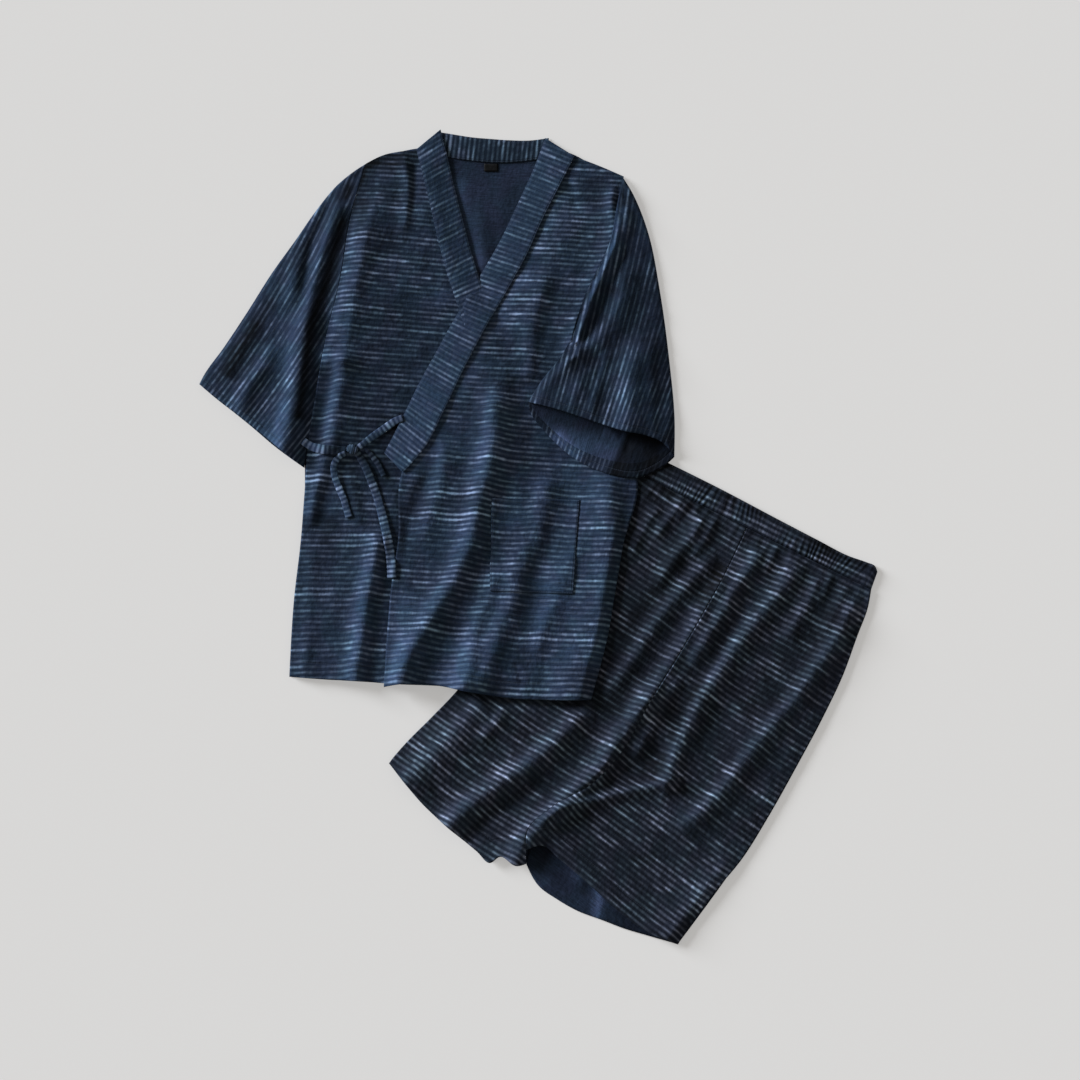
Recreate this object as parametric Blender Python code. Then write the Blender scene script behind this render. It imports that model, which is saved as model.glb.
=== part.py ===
"""Jinbei set: a striped cotton wrap jacket laid flat over its gathered shorts.

The layout sheet has u to the right and v down, in units of GRID metres, with
ORIGIN at the middle of the set. Lengths after that are in millimetres. Z is up
and the set lies on Z = 0. Every cloth piece is a wall WALL thick, worked out on
a net of points between its edges, and it rests on the pieces under it.
"""

import bpy
import bmesh
import math
import numpy as np

# driving dimensions, millimetres unless said
GRID = 1.34            # one layout unit
ORIGIN = (538.0, 537.04)  # layout point at the middle of the set
WALL = 1.2             # cloth wall
BAND_WALL = 1.6        # folded band, two layers pressed together
TIE_WALL = 1.0         # flat tie
LABEL_WALL = 0.8
SEAM = 0.3             # plan gap at a seam
REST = 0.9             # gap between a piece and what it lies on
HOLLOW = 0.8           # least height inside a sleeve or the waistband
LOFT = 5.0             # how far the upper layer stands off the lower one
LOFT_REACH = 16.0      # distance from the outline over which the loft builds up
CELL = 2.0             # spacing of the height map
REACH = 640.0          # half size of the height map

NAVY = (0.045, 0.075, 0.135)
NAVY_DARK = (0.030, 0.042, 0.072)
TIE_BLUE = (0.060, 0.090, 0.150)
BLACK = (0.010, 0.011, 0.013)


# ---------------------------------------------------------------- layout tables
# A section row is (left u, left v, right u, right v), from the top of a piece
# to its hem. Rows of pieces that are sewn together share their edge points.

ARMHOLE_RIGHT = [(366, 163), (361, 180), (350, 219), (340, 280), (328, 328),
                 (319, 372), (313, 410), (308, 440)]
ARMHOLE_LEFT = [(623, 177), (618, 200), (610, 241), (583, 301), (571, 352)]

JACKET_BACK = dict(
    rows=[(366, 163, 623, 177), (361, 180, 618, 200), (350, 219, 610, 241),
          (340, 280, 583, 301), (328, 328, 571, 352), (319, 372, 578, 380),
          (313, 410, 592, 410), (308, 440, 615, 440), (303, 490, 630, 490),
          (300, 540, 623, 546), (295, 600, 614, 600), (290, 677, 591, 700)],
    top=[(366, 163), (400, 151), (425, 147), (448, 148), (490, 151), (540, 150),
         (565, 151), (600, 168), (623, 177)],
    hem=[(290, 677), (330, 680), (378, 683), (437, 686), (470, 692), (508, 698),
         (553, 700), (591, 700)],
    across=10, split=1)

FRONT_RIGHT = dict(
    rows=[(366, 163, 430, 143), (361, 180, 432, 170), (350, 219, 441, 219),
          (340, 280, 458, 280), (328, 328, 485, 325), (319, 372, 505, 372),
          (313, 410, 515, 410), (308, 440, 520, 440), (303, 490, 523, 490),
          (300, 540, 524, 545), (295, 600, 524, 605), (290, 677, 524, 690)],
    top=[(366, 163), (385, 154), (400, 151), (418, 149), (430, 143)],
    hem=[(290, 677), (330, 680), (357, 681), (378, 683), (437, 686), (524, 690)],
    across=14, split=2)

FRONT_LEFT = dict(
    rows=[(560, 150, 623, 177), (545, 190, 618, 200), (520, 240, 610, 241),
          (490, 301, 583, 301), (463, 352, 571, 352), (438, 400, 586, 400),
          (415, 440, 615, 437), (401, 475, 637, 479), (398, 540, 623, 546),
          (392, 580, 617, 580), (387, 635, 608, 635), (384, 687, 591, 700)],
    top=[(560, 150), (575, 156), (600, 168), (623, 177)],
    hem=[(384, 687), (400, 684), (440, 686), (470, 692), (508, 698), (553, 700),
         (591, 700)],
    across=18, split=2)

SLEEVE_RIGHT = dict(
    seam=ARMHOLE_RIGHT,
    outer=[(366, 163), (343, 184), (318, 213), (300, 240), (275, 275),
           (250, 313), (225, 350), (205, 376), (199, 384)],
    under=[(308, 440), (303, 468)],
    cuff=[(199, 384), (213, 397), (233, 415), (250, 425), (275, 445), (303, 468)],
    cuff_under=[(199, 384), (213, 398), (233, 416), (250, 427), (275, 447), (303, 468)],
    around=2, along=12)

SLEEVE_LEFT = dict(
    seam=ARMHOLE_LEFT,
    outer=[(623, 177), (635, 192), (643, 208), (650, 230), (660, 290),
           (669, 360), (674, 420), (674, 456)],
    under=[(571, 352), (559, 361), (545, 376), (536, 389), (528, 402)],
    cuff=[(674, 456), (663, 443), (644, 435), (627, 432), (595, 422), (559, 410),
          (528, 402)],
    cuff_under=[(674, 456), (662, 466), (637, 478), (605, 473), (575, 459),
                (547, 434), (530, 411), (528, 402)],
    around=3, along=12)

BAND_RIGHT = dict(
    rows=[(418, 150, 441, 131), (422, 172, 447, 153), (430, 205, 455, 187),
          (438, 240, 464, 222), (446, 270, 472, 252), (455, 298, 481, 282),
          (466, 330, 493, 314)],
    across=3, split=1)

BAND_LEFT = dict(
    rows=[(547, 139, 575, 157), (536, 162, 563, 180), (519, 200, 545, 215),
          (500, 240, 527, 255), (480, 275, 508, 290), (458, 312, 485, 330),
          (437, 350, 463, 372), (418, 385, 446, 408), (401, 420, 425, 448),
          (384, 453, 403, 473)],
    across=3, split=1)

BAND_BACK = dict(
    rows=[(438, 132, 438, 154), (455, 136, 455, 158), (470, 138, 470, 160),
          (490, 140, 490, 162), (510, 141, 510, 162), (530, 141, 530, 160),
          (549, 139, 549, 157)],
    across=2, split=1)

POCKET = dict(
    rows=[(492, 498, 580, 500), (491, 522, 578, 524), (491, 546, 576, 548),
          (490, 569, 575, 571), (490, 591, 573, 594)],
    across=6, split=1)

LABEL = dict(rows=[(484, 163, 498, 163), (484, 171, 498, 171)], across=1, split=1)

WAIST_TOP = [(634, 446), (673, 464), (725, 490), (775, 516), (820, 538), (850, 555),
             (877, 569)]
WAIST_SEAM = [(625, 467), (747, 528), (869, 589)]

SHORTS_FRONT_RIGHT = dict(
    rows=[(625, 467, 747, 528), (592, 510, 728, 568), (560, 552, 704, 612),
          (522, 604, 676, 660), (488, 649, 651, 700), (455, 693, 618, 757),
          (430, 719, 590, 785), (408, 742, 553, 806), (399, 753, 527, 832),
          (394, 759, 526, 850), (390, 763, 526, 864)],
    hem=[(390, 763), (407, 783), (423, 805), (447, 827), (477, 852), (490, 862),
         (500, 857), (517, 866), (526, 864)],
    across=14, split=2)

SHORTS_FRONT_LEFT = dict(
    rows=[(747, 528, 869, 589), (728, 568, 866, 607), (704, 612, 856, 635),
          (676, 660, 842, 675), (651, 700, 822, 717), (618, 757, 795, 765),
          (590, 785, 768, 815), (553, 806, 743, 860), (527, 832, 712, 898),
          (526, 850, 677, 943)],
    hem=[(526, 850), (543, 846), (559, 859), (578, 875), (596, 891), (620, 913),
         (647, 932), (677, 943)],
    across=16, split=2)

SHORTS_BACK_RIGHT = dict(
    rows=[(625, 467, 747, 528), (560, 552, 704, 612), (488, 649, 651, 700),
          (455, 693, 618, 757), (430, 719, 590, 785), (405, 745, 553, 806),
          (390, 763, 526, 864)],
    hem=[(390, 763), (407, 783), (423, 805), (447, 827), (477, 852), (490, 862),
         (500, 857), (517, 866), (526, 864)],
    across=6, split=1)

SHORTS_BACK_LEFT = dict(
    rows=[(747, 528, 869, 589), (704, 612, 856, 635), (651, 700, 822, 717),
          (618, 757, 795, 765), (590, 785, 768, 815), (553, 806, 735, 868),
          (526, 864, 677, 943)],
    hem=[(526, 864), (540, 886), (558, 898), (578, 909), (603, 918), (626, 927),
         (647, 934), (677, 943)],
    across=6, split=1)

# Edges where an upper layer comes down to the layer under it.
JACKET_CLOSED = [
    [(304, 469), (303, 490), (300, 540), (295, 600), (290, 677)],
    [(637, 479), (623, 546), (617, 580), (608, 635), (591, 700)],
    [(366, 163), (400, 151), (418, 150)], [(575, 156), (600, 168), (623, 177)],
    SLEEVE_RIGHT["outer"], SLEEVE_RIGHT["under"],
]
SHORTS_CLOSED = [
    [(625, 467), (560, 552), (488, 649), (455, 693), (430, 719), (390, 763)],
    [(869, 589), (856, 635), (842, 675), (822, 717), (795, 765), (768, 815),
     (743, 860), (677, 943)],
    [(643, 721), (618, 757), (590, 785), (553, 806), (527, 832), (526, 864)],
]

# A fold row is its crest's start, middle pull and end in layout units, its width
# to the left and to the right of the way it runs, and its height (a trough has a
# negative height), all in millimetres.
FOLD = ("u0", "v0", "u1", "v1", "u2", "v2", "left", "right", "height")
JACKET_FOLDS = [
    (492, 395, 478, 530, 398, 684, 18, 18, 8.0),
    (512, 405, 492, 540, 428, 680, 14, 14, -5.0),
    (537, 495, 508, 600, 462, 694, 18, 18, 7.0),
    (556, 515, 525, 600, 498, 694, 14, 14, -4.0),
    (592, 485, 588, 600, 548, 700, 26, 26, 5.0),
    (372, 188, 342, 300, 326, 455, 20, 14, 6.0),
    (392, 195, 364, 320, 358, 410, 14, 14, -4.0),
    (362, 560, 366, 620, 362, 678, 14, 14, 5.0),
    (604, 200, 594, 280, 566, 350, 16, 12, 4.0),
]
SLEEVE_RIGHT_FOLDS = [
    (328, 212, 292, 310, 268, 440, 14, 18, 7.0),
    (352, 196, 322, 290, 304, 432, 12, 12, -4.0),
    (266, 330, 250, 360, 236, 408, 14, 14, 5.0),
]
SLEEVE_LEFT_FOLDS = [
    (628, 262, 617, 340, 612, 420, 18, 20, 6.0),
    (571, 354, 602, 336, 620, 296, 10, 26, 5.0),
    (618, 210, 608, 270, 588, 325, 14, 12, -4.0),
    (534, 405, 600, 410, 668, 448, 24, 40, 9.0),
]
SHORTS_FOLDS = [
    (712, 560, 652, 716, 505, 838, 16, 12, 9.0),
    (600, 700, 540, 755, 444, 814, 18, 14, 7.0),
    (792, 566, 690, 680, 663, 772, 18, 14, 7.0),
    (846, 620, 780, 740, 690, 812, 20, 14, 6.0),
    (740, 840, 690, 870, 656, 918, 18, 18, 5.0),
    (662, 780, 590, 786, 528, 836, 34, 9, 7.0),
    (650, 705, 622, 760, 575, 798, 10, 10, -4.0),
    (632, 905, 590, 868, 548, 848, 40, 26, 7.0),
]

# A tie row is the middle of the tie in layout units and its half width in mm.
TIE_SIDE = [(303, 441, 5.5), (311, 446, 5.5), (321, 447, 5.5), (331, 445, 5.2),
            (341, 446, 4.6)]
TIE_BAND = [(403, 418, 5.0), (394, 422, 5.2), (384, 428, 5.4), (374, 436, 5.2),
            (365, 443, 4.6)]
TIE_TAIL_SHORT = [(345, 455, 3.6), (337, 460, 4.2), (334, 470, 4.3), (336, 482, 4.3),
                  (341, 495, 4.4), (345, 506, 4.5), (349, 517, 4.6)]
TIE_TAIL_LONG = [(359, 455, 4.2), (367, 469, 5.6), (375, 486, 5.9), (381, 504, 6.0),
                 (386, 524, 6.0), (389, 544, 6.0), (391, 562, 6.0), (393, 577, 6.0)]
TIE_LOOP = [(367, 450, 3.0), (373, 458, 3.4), (379, 466, 3.6), (383, 476, 3.4)]
KNOT = dict(u=353, v=448, length=15.0, width=11.0, height=7.0, turn=-12.0)


# ---------------------------------------------------------------- plan geometry
def plan(points):
    """Layout units to millimetres, Y up."""
    p = np.asarray(points, float)
    return np.stack([(p[..., 0] - ORIGIN[0]) * GRID, (ORIGIN[1] - p[..., 1]) * GRID], -1)


def by_index(points, count):
    """count points along a broken line, even in the number of its legs."""
    at = np.linspace(0, len(points) - 1, count)
    k = np.minimum(at.astype(int), len(points) - 2)
    return points[k] + (points[k + 1] - points[k]) * (at - k)[:, None]


def by_length(points, count):
    """count points along a broken line, even in length."""
    run = np.r_[0, np.hypot(*np.diff(points, axis=0).T).cumsum()]
    at = np.linspace(0, run[-1], count)
    return np.stack([np.interp(at, run, points[:, k]) for k in (0, 1)], -1)


def patch(first, last, left, right):
    """A net between four edges: first and last run across, left and right down."""
    s = np.linspace(0, 1, len(first))[None, :, None]
    t = np.linspace(0, 1, len(left))[:, None, None]
    ruled = left[:, None] * (1 - s) + right[:, None] * s
    first_line = left[0] * (1 - s[0]) + right[0] * s[0]
    last_line = left[-1] * (1 - s[0]) + right[-1] * s[0]
    fall = np.linspace(0, 1, len(left))[:, None, None] ** 1.5
    rise = (1 - np.linspace(0, 1, len(left)))[:, None, None] ** 1.5
    return ruled + rise * (first - first_line)[None] + fall * (last - last_line)[None]


def inset(net, gap):
    """Draws a net's four edges in by gap along its own lines."""
    net = net.copy()
    for a, b in ((0, 1), (-1, -2)):
        for view in (net, net.transpose(1, 0, 2)):
            step = view[b] - view[a]
            run = np.maximum(np.hypot(*step.T), 1e-6)[:, None]
            view[a] += step / run * np.minimum(gap, 0.3 * run)
    return net


def panel_net(piece):
    rows = plan(np.array(piece["rows"], float).reshape(-1, 2, 2))
    down = (len(rows) - 1) * piece["split"] + 1
    left, right = by_index(rows[:, 0], down), by_index(rows[:, 1], down)
    across = piece["across"] + 1
    straight = np.stack([left[[0, -1]], right[[0, -1]]], 1)
    first = by_length(plan(piece["top"]) if "top" in piece else straight[0], across)
    last = by_length(plan(piece["hem"]) if "hem" in piece else straight[1], across)
    return inset(patch(first, last, left, right), SEAM * 0.75)


def triangles(rows, cols):
    i, j = np.meshgrid(np.arange(rows - 1), np.arange(cols - 1), indexing="ij")
    a = (i * cols + j).ravel()
    return np.concatenate([np.stack([a, a + 1, a + cols + 1], 1),
                           np.stack([a, a + cols + 1, a + cols], 1)])


# ---------------------------------------------------------------- height map
SIZE = int(2 * REACH / CELL)


def spread(points, tris):
    """The cells whose middles each triangle covers, with their weights in it."""
    found = []
    at = (points + REACH) / CELL - 0.5
    for k, (a, b, c) in enumerate(at[tris]):
        low = np.maximum(np.floor(np.minimum(np.minimum(a, b), c)).astype(int), 0)
        high = np.ceil(np.maximum(np.maximum(a, b), c)).astype(int)
        x, y = np.meshgrid(np.arange(low[0], high[0] + 1), np.arange(low[1], high[1] + 1))
        area = (b[0] - a[0]) * (c[1] - a[1]) - (c[0] - a[0]) * (b[1] - a[1])
        if abs(area) < 1e-9:
            continue
        w1 = ((x - a[0]) * (c[1] - a[1]) - (c[0] - a[0]) * (y - a[1])) / area
        w2 = ((b[0] - a[0]) * (y - a[1]) - (x - a[0]) * (b[1] - a[1])) / area
        w0 = 1 - w1 - w2
        ok = (w0 >= -1e-6) & (w1 >= -1e-6) & (w2 >= -1e-6)
        cell = (y[ok] * SIZE + x[ok]).ravel()
        found.append((cell, np.full(len(cell), k), np.stack([w0[ok], w1[ok], w2[ok]], 1)))
    return [np.concatenate([f[n] for f in found]) for n in range(3)]


def sample(field, points):
    at = (points + REACH) / CELL - 0.5
    k = np.floor(at).astype(int)
    f = at - k
    x, y = k[..., 0], k[..., 1]
    return ((field[y, x] * (1 - f[..., 0]) + field[y, x + 1] * f[..., 0]) * (1 - f[..., 1])
            + (field[y + 1, x] * (1 - f[..., 0]) + field[y + 1, x + 1] * f[..., 0]) * f[..., 1])


def blur(field, times):
    for _ in range(times):
        for axis in (0, 1):
            field = (np.roll(field, 1, axis) + 2 * field + np.roll(field, -1, axis)) / 4
    return field


def edge_distance(points, lines):
    """Distance of each plan point from the edges where two layers are joined."""
    best = np.full(points.shape[:-1], 1e9)
    for line in lines:
        line = plan(line)
        for p, q in zip(line[:-1], line[1:]):
            leg = q - p
            rel = points - p
            run = np.clip((rel @ leg) / (leg @ leg), 0, 1)
            off = rel - run[..., None] * leg
            best = np.minimum(best, np.hypot(off[..., 0], off[..., 1]))
    return best


def relief(points, folds):
    """Sum of the folds at some plan points, in millimetres."""
    total = np.zeros(points.shape[:-1])
    for row in folds:
        fold = dict(zip(FOLD, row))
        a, b, c = plan([(fold["u0"], fold["v0"]), (fold["u1"], fold["v1"]),
                        (fold["u2"], fold["v2"])])
        t = np.linspace(0, 1, 17)[:, None]
        crest = a * (1 - t) ** 2 + 2 * b * t * (1 - t) + c * t ** 2
        best = np.full(total.shape, 1e9)
        value = np.zeros(total.shape)
        for k in range(16):
            leg = crest[k + 1] - crest[k]
            size = np.hypot(*leg)
            rel = points - crest[k]
            run = np.clip((rel @ leg) / size ** 2, 0, 1)
            off = rel - run[..., None] * leg
            d = np.hypot(off[..., 0], off[..., 1])
            side = leg[0] * rel[..., 1] - leg[1] * rel[..., 0]
            width = np.where(side > 0, fold["left"], fold["right"])
            along = (k + run) / 16
            fade = np.clip(np.minimum(along, 1 - along) * 6 + 0.35, 0, 1)
            now = np.exp(-(d / width) ** 2) * fade
            value = np.where(d < best, now, value)
            best = np.minimum(best, d)
        total += fold["height"] * value
    return total


class Heap:
    """The heights of what has been laid down so far."""

    def __init__(self):
        self.high = np.zeros(SIZE * SIZE)

    def field(self):
        return self.high.reshape(SIZE, SIZE)

    def settle(self, net, want, rest=REST):
        """Heights of a net's underside: as wanted, and clear of what it covers."""
        rows, cols = net.shape[:2]
        tris = triangles(rows, cols)
        z = want.ravel().astype(float).copy()
        cell, tri, weight = spread(net.reshape(-1, 2), tris)
        under = self.high[cell]
        need = np.where(under > 0, under + rest, 0.0)
        short = need - (weight * z[tris[tri]]).sum(1)
        worst = np.zeros(len(tris))
        np.maximum.at(worst, tri, short)
        lift = np.zeros(len(z))
        for k in range(3):
            np.maximum.at(lift, tris[:, k], worst)
        return np.maximum(z + lift, 0.0).reshape(rows, cols)

    def cover(self, net, top):
        tris = triangles(*net.shape[:2])
        cell, tri, weight = spread(net.reshape(-1, 2), tris)
        z = (weight * top.ravel()[tris[tri]]).sum(1)
        np.maximum.at(self.high, cell, z)
        return cell


# ---------------------------------------------------------------- solids
def build(name, points, faces, colour, rough):
    mesh = bpy.data.meshes.new(name)
    mesh.from_pydata([tuple(p * 0.001) for p in points], [], [tuple(int(i) for i in f) for f in faces])
    work = bmesh.new()
    work.from_mesh(mesh)
    bmesh.ops.recalc_face_normals(work, faces=work.faces)
    work.to_mesh(mesh)
    work.free()
    material = bpy.data.materials.new(name)
    material.use_nodes = True
    shader = material.node_tree.nodes["Principled BSDF"]
    shader.inputs["Base Color"].default_value = (*colour, 1.0)
    shader.inputs["Roughness"].default_value = rough
    shader.inputs["Metallic"].default_value = 0.0
    mesh.materials.append(material)
    piece = bpy.data.objects.new(name, mesh)
    bpy.context.scene.collection.objects.link(piece)
    return piece


def rim_of(rows, cols):
    top = [j for j in range(cols)]
    right = [i * cols + cols - 1 for i in range(1, rows)]
    low = [(rows - 1) * cols + j for j in range(cols - 2, -1, -1)]
    left = [i * cols for i in range(rows - 2, 0, -1)]
    return np.array(top + right + low + left)


def sheet(name, net, under, wall, colour, rough=0.9):
    """A closed wall over a net whose underside has the given heights."""
    rows, cols = net.shape[:2]
    flat = net.reshape(-1, 2)
    low = np.column_stack([flat, under.ravel()])
    high = np.column_stack([flat, under.ravel() + wall])
    n = len(flat)
    tris = triangles(rows, cols)
    rim = rim_of(rows, cols)
    nxt = np.roll(rim, -1)
    sides = np.concatenate([np.stack([rim, nxt, nxt + n], 1), np.stack([rim, nxt + n, rim + n], 1)])
    return build(name, np.concatenate([low, high]), np.concatenate([tris[:, ::-1], tris + n, sides]),
                 colour, rough)


def tube(name, lower, upper, z_lower, z_upper, wall, colour, rough=0.9):
    """A flattened sleeve. lower and upper are nets with common side columns;
    z_lower is the outside of the lower wall, z_upper the outside of the upper."""
    rows, cols = lower.shape[:2]

    def drawn_in(net):
        net = net.copy()
        for a, b in ((0, 1), (-1, -2)):
            step = net[:, b] - net[:, a]
            run = np.maximum(np.hypot(*step.T), 1e-6)[:, None]
            net[:, a] += step / run * np.minimum(wall, 0.45 * run)
        return net

    outside = np.concatenate([np.dstack([lower, z_lower]), np.dstack([upper, z_upper])[:, ::-1]], 1)
    inside = np.concatenate([np.dstack([drawn_in(lower), z_lower + wall]),
                             np.dstack([drawn_in(upper), z_upper - wall])[:, ::-1]], 1)
    around = 2 * cols
    n = rows * around
    i, j = np.meshgrid(np.arange(rows - 1), np.arange(around), indexing="ij")
    a = (i * around + j).ravel()
    b = (i * around + (j + 1) % around).ravel()
    # the lower half takes one diagonal and the upper, which runs back, the other
    back = (j.ravel() >= cols) & (j.ravel() < 2 * cols - 1)
    first = np.where(back[:, None], np.stack([a, b, a + around], 1), np.stack([a, b, b + around], 1))
    second = np.where(back[:, None], np.stack([b, b + around, a + around], 1),
                      np.stack([a, b + around, a + around], 1))
    skin = np.concatenate([first, second])
    ends = []
    for row in (0, rows - 1):
        p = row * around + np.arange(around)
        q = row * around + (np.arange(around) + 1) % around
        ends += [np.stack([p, q, q + n], 1), np.stack([p, q + n, p + n], 1)]
    points = np.concatenate([outside.reshape(-1, 3), inside.reshape(-1, 3)])
    return build(name, points, np.concatenate([skin, skin[:, ::-1] + n] + ends), colour, rough)


def stand_off(heap, closed, folds):
    """Heights wanted of an upper layer: the ground, the loft and the folds."""
    ground = blur(heap.field(), 8)

    def want(net):
        far = edge_distance(net, closed)
        rise = LOFT * (1 - np.exp(-far / LOFT_REACH))
        hold = np.clip(far / 20.0, 0.15, 1)
        return sample(ground, net) + np.maximum(rise + relief(net, folds) * hold, 0.0)

    return want


def sleeve_nets(piece):
    seam, outer, under = (plan(piece[k]) for k in ("seam", "outer", "under"))
    across = (len(seam) - 1) * piece["around"] + 1
    along = piece["along"] + 1
    first = by_index(seam, across)
    left, right = by_length(outer, along), by_length(under, along)
    nets = [inset(patch(first, by_length(plan(piece[k]), across), left, right), SEAM * 0.75)
            for k in ("cuff_under", "cuff")]
    for side in (0, -1):
        nets[1][:, side] = nets[0][:, side]
    return nets


def lay_tube(heap, name, lower, upper, want, colour, rest=REST, wall=WALL):
    """Lays a flattened tube on the heap and returns nothing."""
    z_low = heap.settle(lower, np.zeros(lower.shape[:2]), rest)
    heap.cover(lower, z_low + wall)
    z_up = heap.settle(upper, want(upper), HOLLOW) + wall
    low_at = np.stack([z_low[:, 0], z_low[:, -1]], 1)
    for k, side in enumerate((0, -1)):
        z_up[:, side] = np.maximum(low_at[:, k] + 2 * wall + HOLLOW,
                                   np.minimum(z_up[:, side], low_at[:, k] + 2 * wall + 2.0))
    heap.cover(upper, z_up)
    return tube(name, lower, upper, z_low, z_up, wall, colour)


def tie_net(rows):
    """A flat tie's net, two columns wide, square to the way it runs."""
    table = np.array(rows, float)
    mid = plan(table[:, :2])
    way = np.gradient(mid, axis=0)
    way /= np.hypot(*way.T)[:, None]
    out = np.stack([-way[:, 1], way[:, 0]], 1) * table[:, 2:3]
    return np.stack([mid + out, mid, mid - out], 1)


def lay_sheet(heap, name, net, want, wall, colour, rest=REST, rough=0.9):
    z = heap.settle(net, want(net) if callable(want) else np.full(net.shape[:2], want), rest)
    heap.cover(net, z + wall)
    return sheet(name, net, z, wall, colour, rough)


def knot(heap, name, spec, colour):
    """A squashed, slightly waisted lump of tie cloth."""
    centre = plan((spec["u"], spec["v"]))
    turn = math.radians(spec["turn"])
    rings, around = 7, 12
    span = np.linspace(-1, 1, 9)
    x, y = np.meshgrid(span, span)
    foot = np.stack([centre[0] + x * spec["length"] / 2, centre[1] + y * spec["width"] / 2], -1)
    base = sample(heap.field(), foot).max() + REST
    points = []
    for k in range(rings):
        lat = math.pi * (k + 0.5) / rings
        for m in range(around):
            lon = 2 * math.pi * m / around
            p = np.array([math.cos(lat) * spec["length"] / 2,
                          math.sin(lat) * math.cos(lon) * spec["width"] / 2,
                          math.sin(lat) * math.sin(lon) * spec["height"] / 2])
            points.append((centre[0] + p[0] * math.cos(turn) - p[1] * math.sin(turn),
                           centre[1] + p[0] * math.sin(turn) + p[1] * math.cos(turn),
                           base + spec["height"] / 2 + p[2]))
    faces = []
    for k in range(rings - 1):
        for m in range(around):
            a, b = k * around + m, k * around + (m + 1) % around
            faces += [(a, b, b + around), (a, b + around, a + around)]
    for end in (0, rings - 1):
        ring = [end * around + m for m in range(around)]
        faces += [(ring[0], ring[m], ring[m + 1]) for m in range(1, around - 1)]
    return build(name, np.array(points), faces, colour, 0.9)


# ---------------------------------------------------------------- the set
def main():
    for old in list(bpy.data.objects):
        bpy.data.objects.remove(old, do_unlink=True)
    heap = Heap()

    # shorts: backs on the ground, the gathered waistband, then the fronts
    nets = {k: panel_net(v) for k, v in (
        ("shorts_back_right", SHORTS_BACK_RIGHT), ("shorts_back_left", SHORTS_BACK_LEFT),
        ("shorts_front_right", SHORTS_FRONT_RIGHT), ("shorts_front_left", SHORTS_FRONT_LEFT),
        ("jacket_back", JACKET_BACK), ("jacket_front_right", FRONT_RIGHT),
        ("jacket_front_left", FRONT_LEFT), ("neckband_right", BAND_RIGHT),
        ("neckband_left", BAND_LEFT), ("neckband_back", BAND_BACK), ("pocket", POCKET),
        ("neck_label", LABEL))}
    for name in ("shorts_back_right", "shorts_back_left"):
        lay_sheet(heap, name, nets[name], 0.0, WALL, NAVY_DARK)
    waist = inset(patch(by_length(plan(WAIST_TOP), 13), by_length(plan(WAIST_SEAM), 13),
                        by_length(plan([WAIST_TOP[0], WAIST_SEAM[0]]), 3),
                        by_length(plan([WAIST_TOP[-1], WAIST_SEAM[-1]]), 3)), SEAM * 0.75)
    lay_tube(heap, "waistband", waist, waist,
             lambda net: np.full(net.shape[:2], WALL + LOFT + 0.5), NAVY_DARK)
    want = stand_off(heap, SHORTS_CLOSED, SHORTS_FOLDS)
    for name in ("shorts_front_right", "shorts_front_left"):
        lay_sheet(heap, name, nets[name], want, WALL, NAVY_DARK)

    # jacket: back, the back neckband, sleeves under the fronts, fronts, bands
    lay_sheet(heap, "jacket_back", nets["jacket_back"], 0.0, WALL, NAVY)
    right_low, right_up = sleeve_nets(SLEEVE_RIGHT)
    left_low, left_up = sleeve_nets(SLEEVE_LEFT)
    want = stand_off(heap, JACKET_CLOSED, JACKET_FOLDS)
    want_right = stand_off(heap, JACKET_CLOSED, SLEEVE_RIGHT_FOLDS)
    lay_sheet(heap, "neck_label", nets["neck_label"], 0.0, LABEL_WALL, BLACK)
    lay_sheet(heap, "neckband_back", nets["neckband_back"], 0.0, BAND_WALL, NAVY)
    lay_tube(heap, "sleeve_right", right_low, right_up, want_right, NAVY)
    lay_sheet(heap, "jacket_front_right", nets["jacket_front_right"], want, WALL, NAVY)
    lay_sheet(heap, "neckband_right", nets["neckband_right"], 0.0, BAND_WALL, NAVY)
    lay_sheet(heap, "jacket_front_left", nets["jacket_front_left"], want, WALL, NAVY)
    lay_sheet(heap, "neckband_left", nets["neckband_left"], 0.0, BAND_WALL, NAVY)
    lay_sheet(heap, "pocket", nets["pocket"], 0.0, WALL, NAVY)
    def over(net):
        return (sample(blur(heap.field(), 8), net) + 2.0
                + np.maximum(relief(net, SLEEVE_LEFT_FOLDS), -1.0))

    lay_tube(heap, "sleeve_left", left_low, left_up, over, NAVY, rest=1.5)

    # ties, knotted at the side
    lay_sheet(heap, "tie_side", tie_net(TIE_SIDE), 0.0, TIE_WALL, TIE_BLUE)
    lay_sheet(heap, "tie_band", tie_net(TIE_BAND), 0.0, TIE_WALL, TIE_BLUE)
    lay_sheet(heap, "tie_tail_short", tie_net(TIE_TAIL_SHORT), 0.0, TIE_WALL, TIE_BLUE)
    lay_sheet(heap, "tie_tail_long", tie_net(TIE_TAIL_LONG), 0.0, TIE_WALL, TIE_BLUE)
    lay_sheet(heap, "tie_loop", tie_net(TIE_LOOP), 0.0, TIE_WALL, TIE_BLUE)
    knot(heap, "tie_knot", KNOT, TIE_BLUE)


main()
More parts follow.
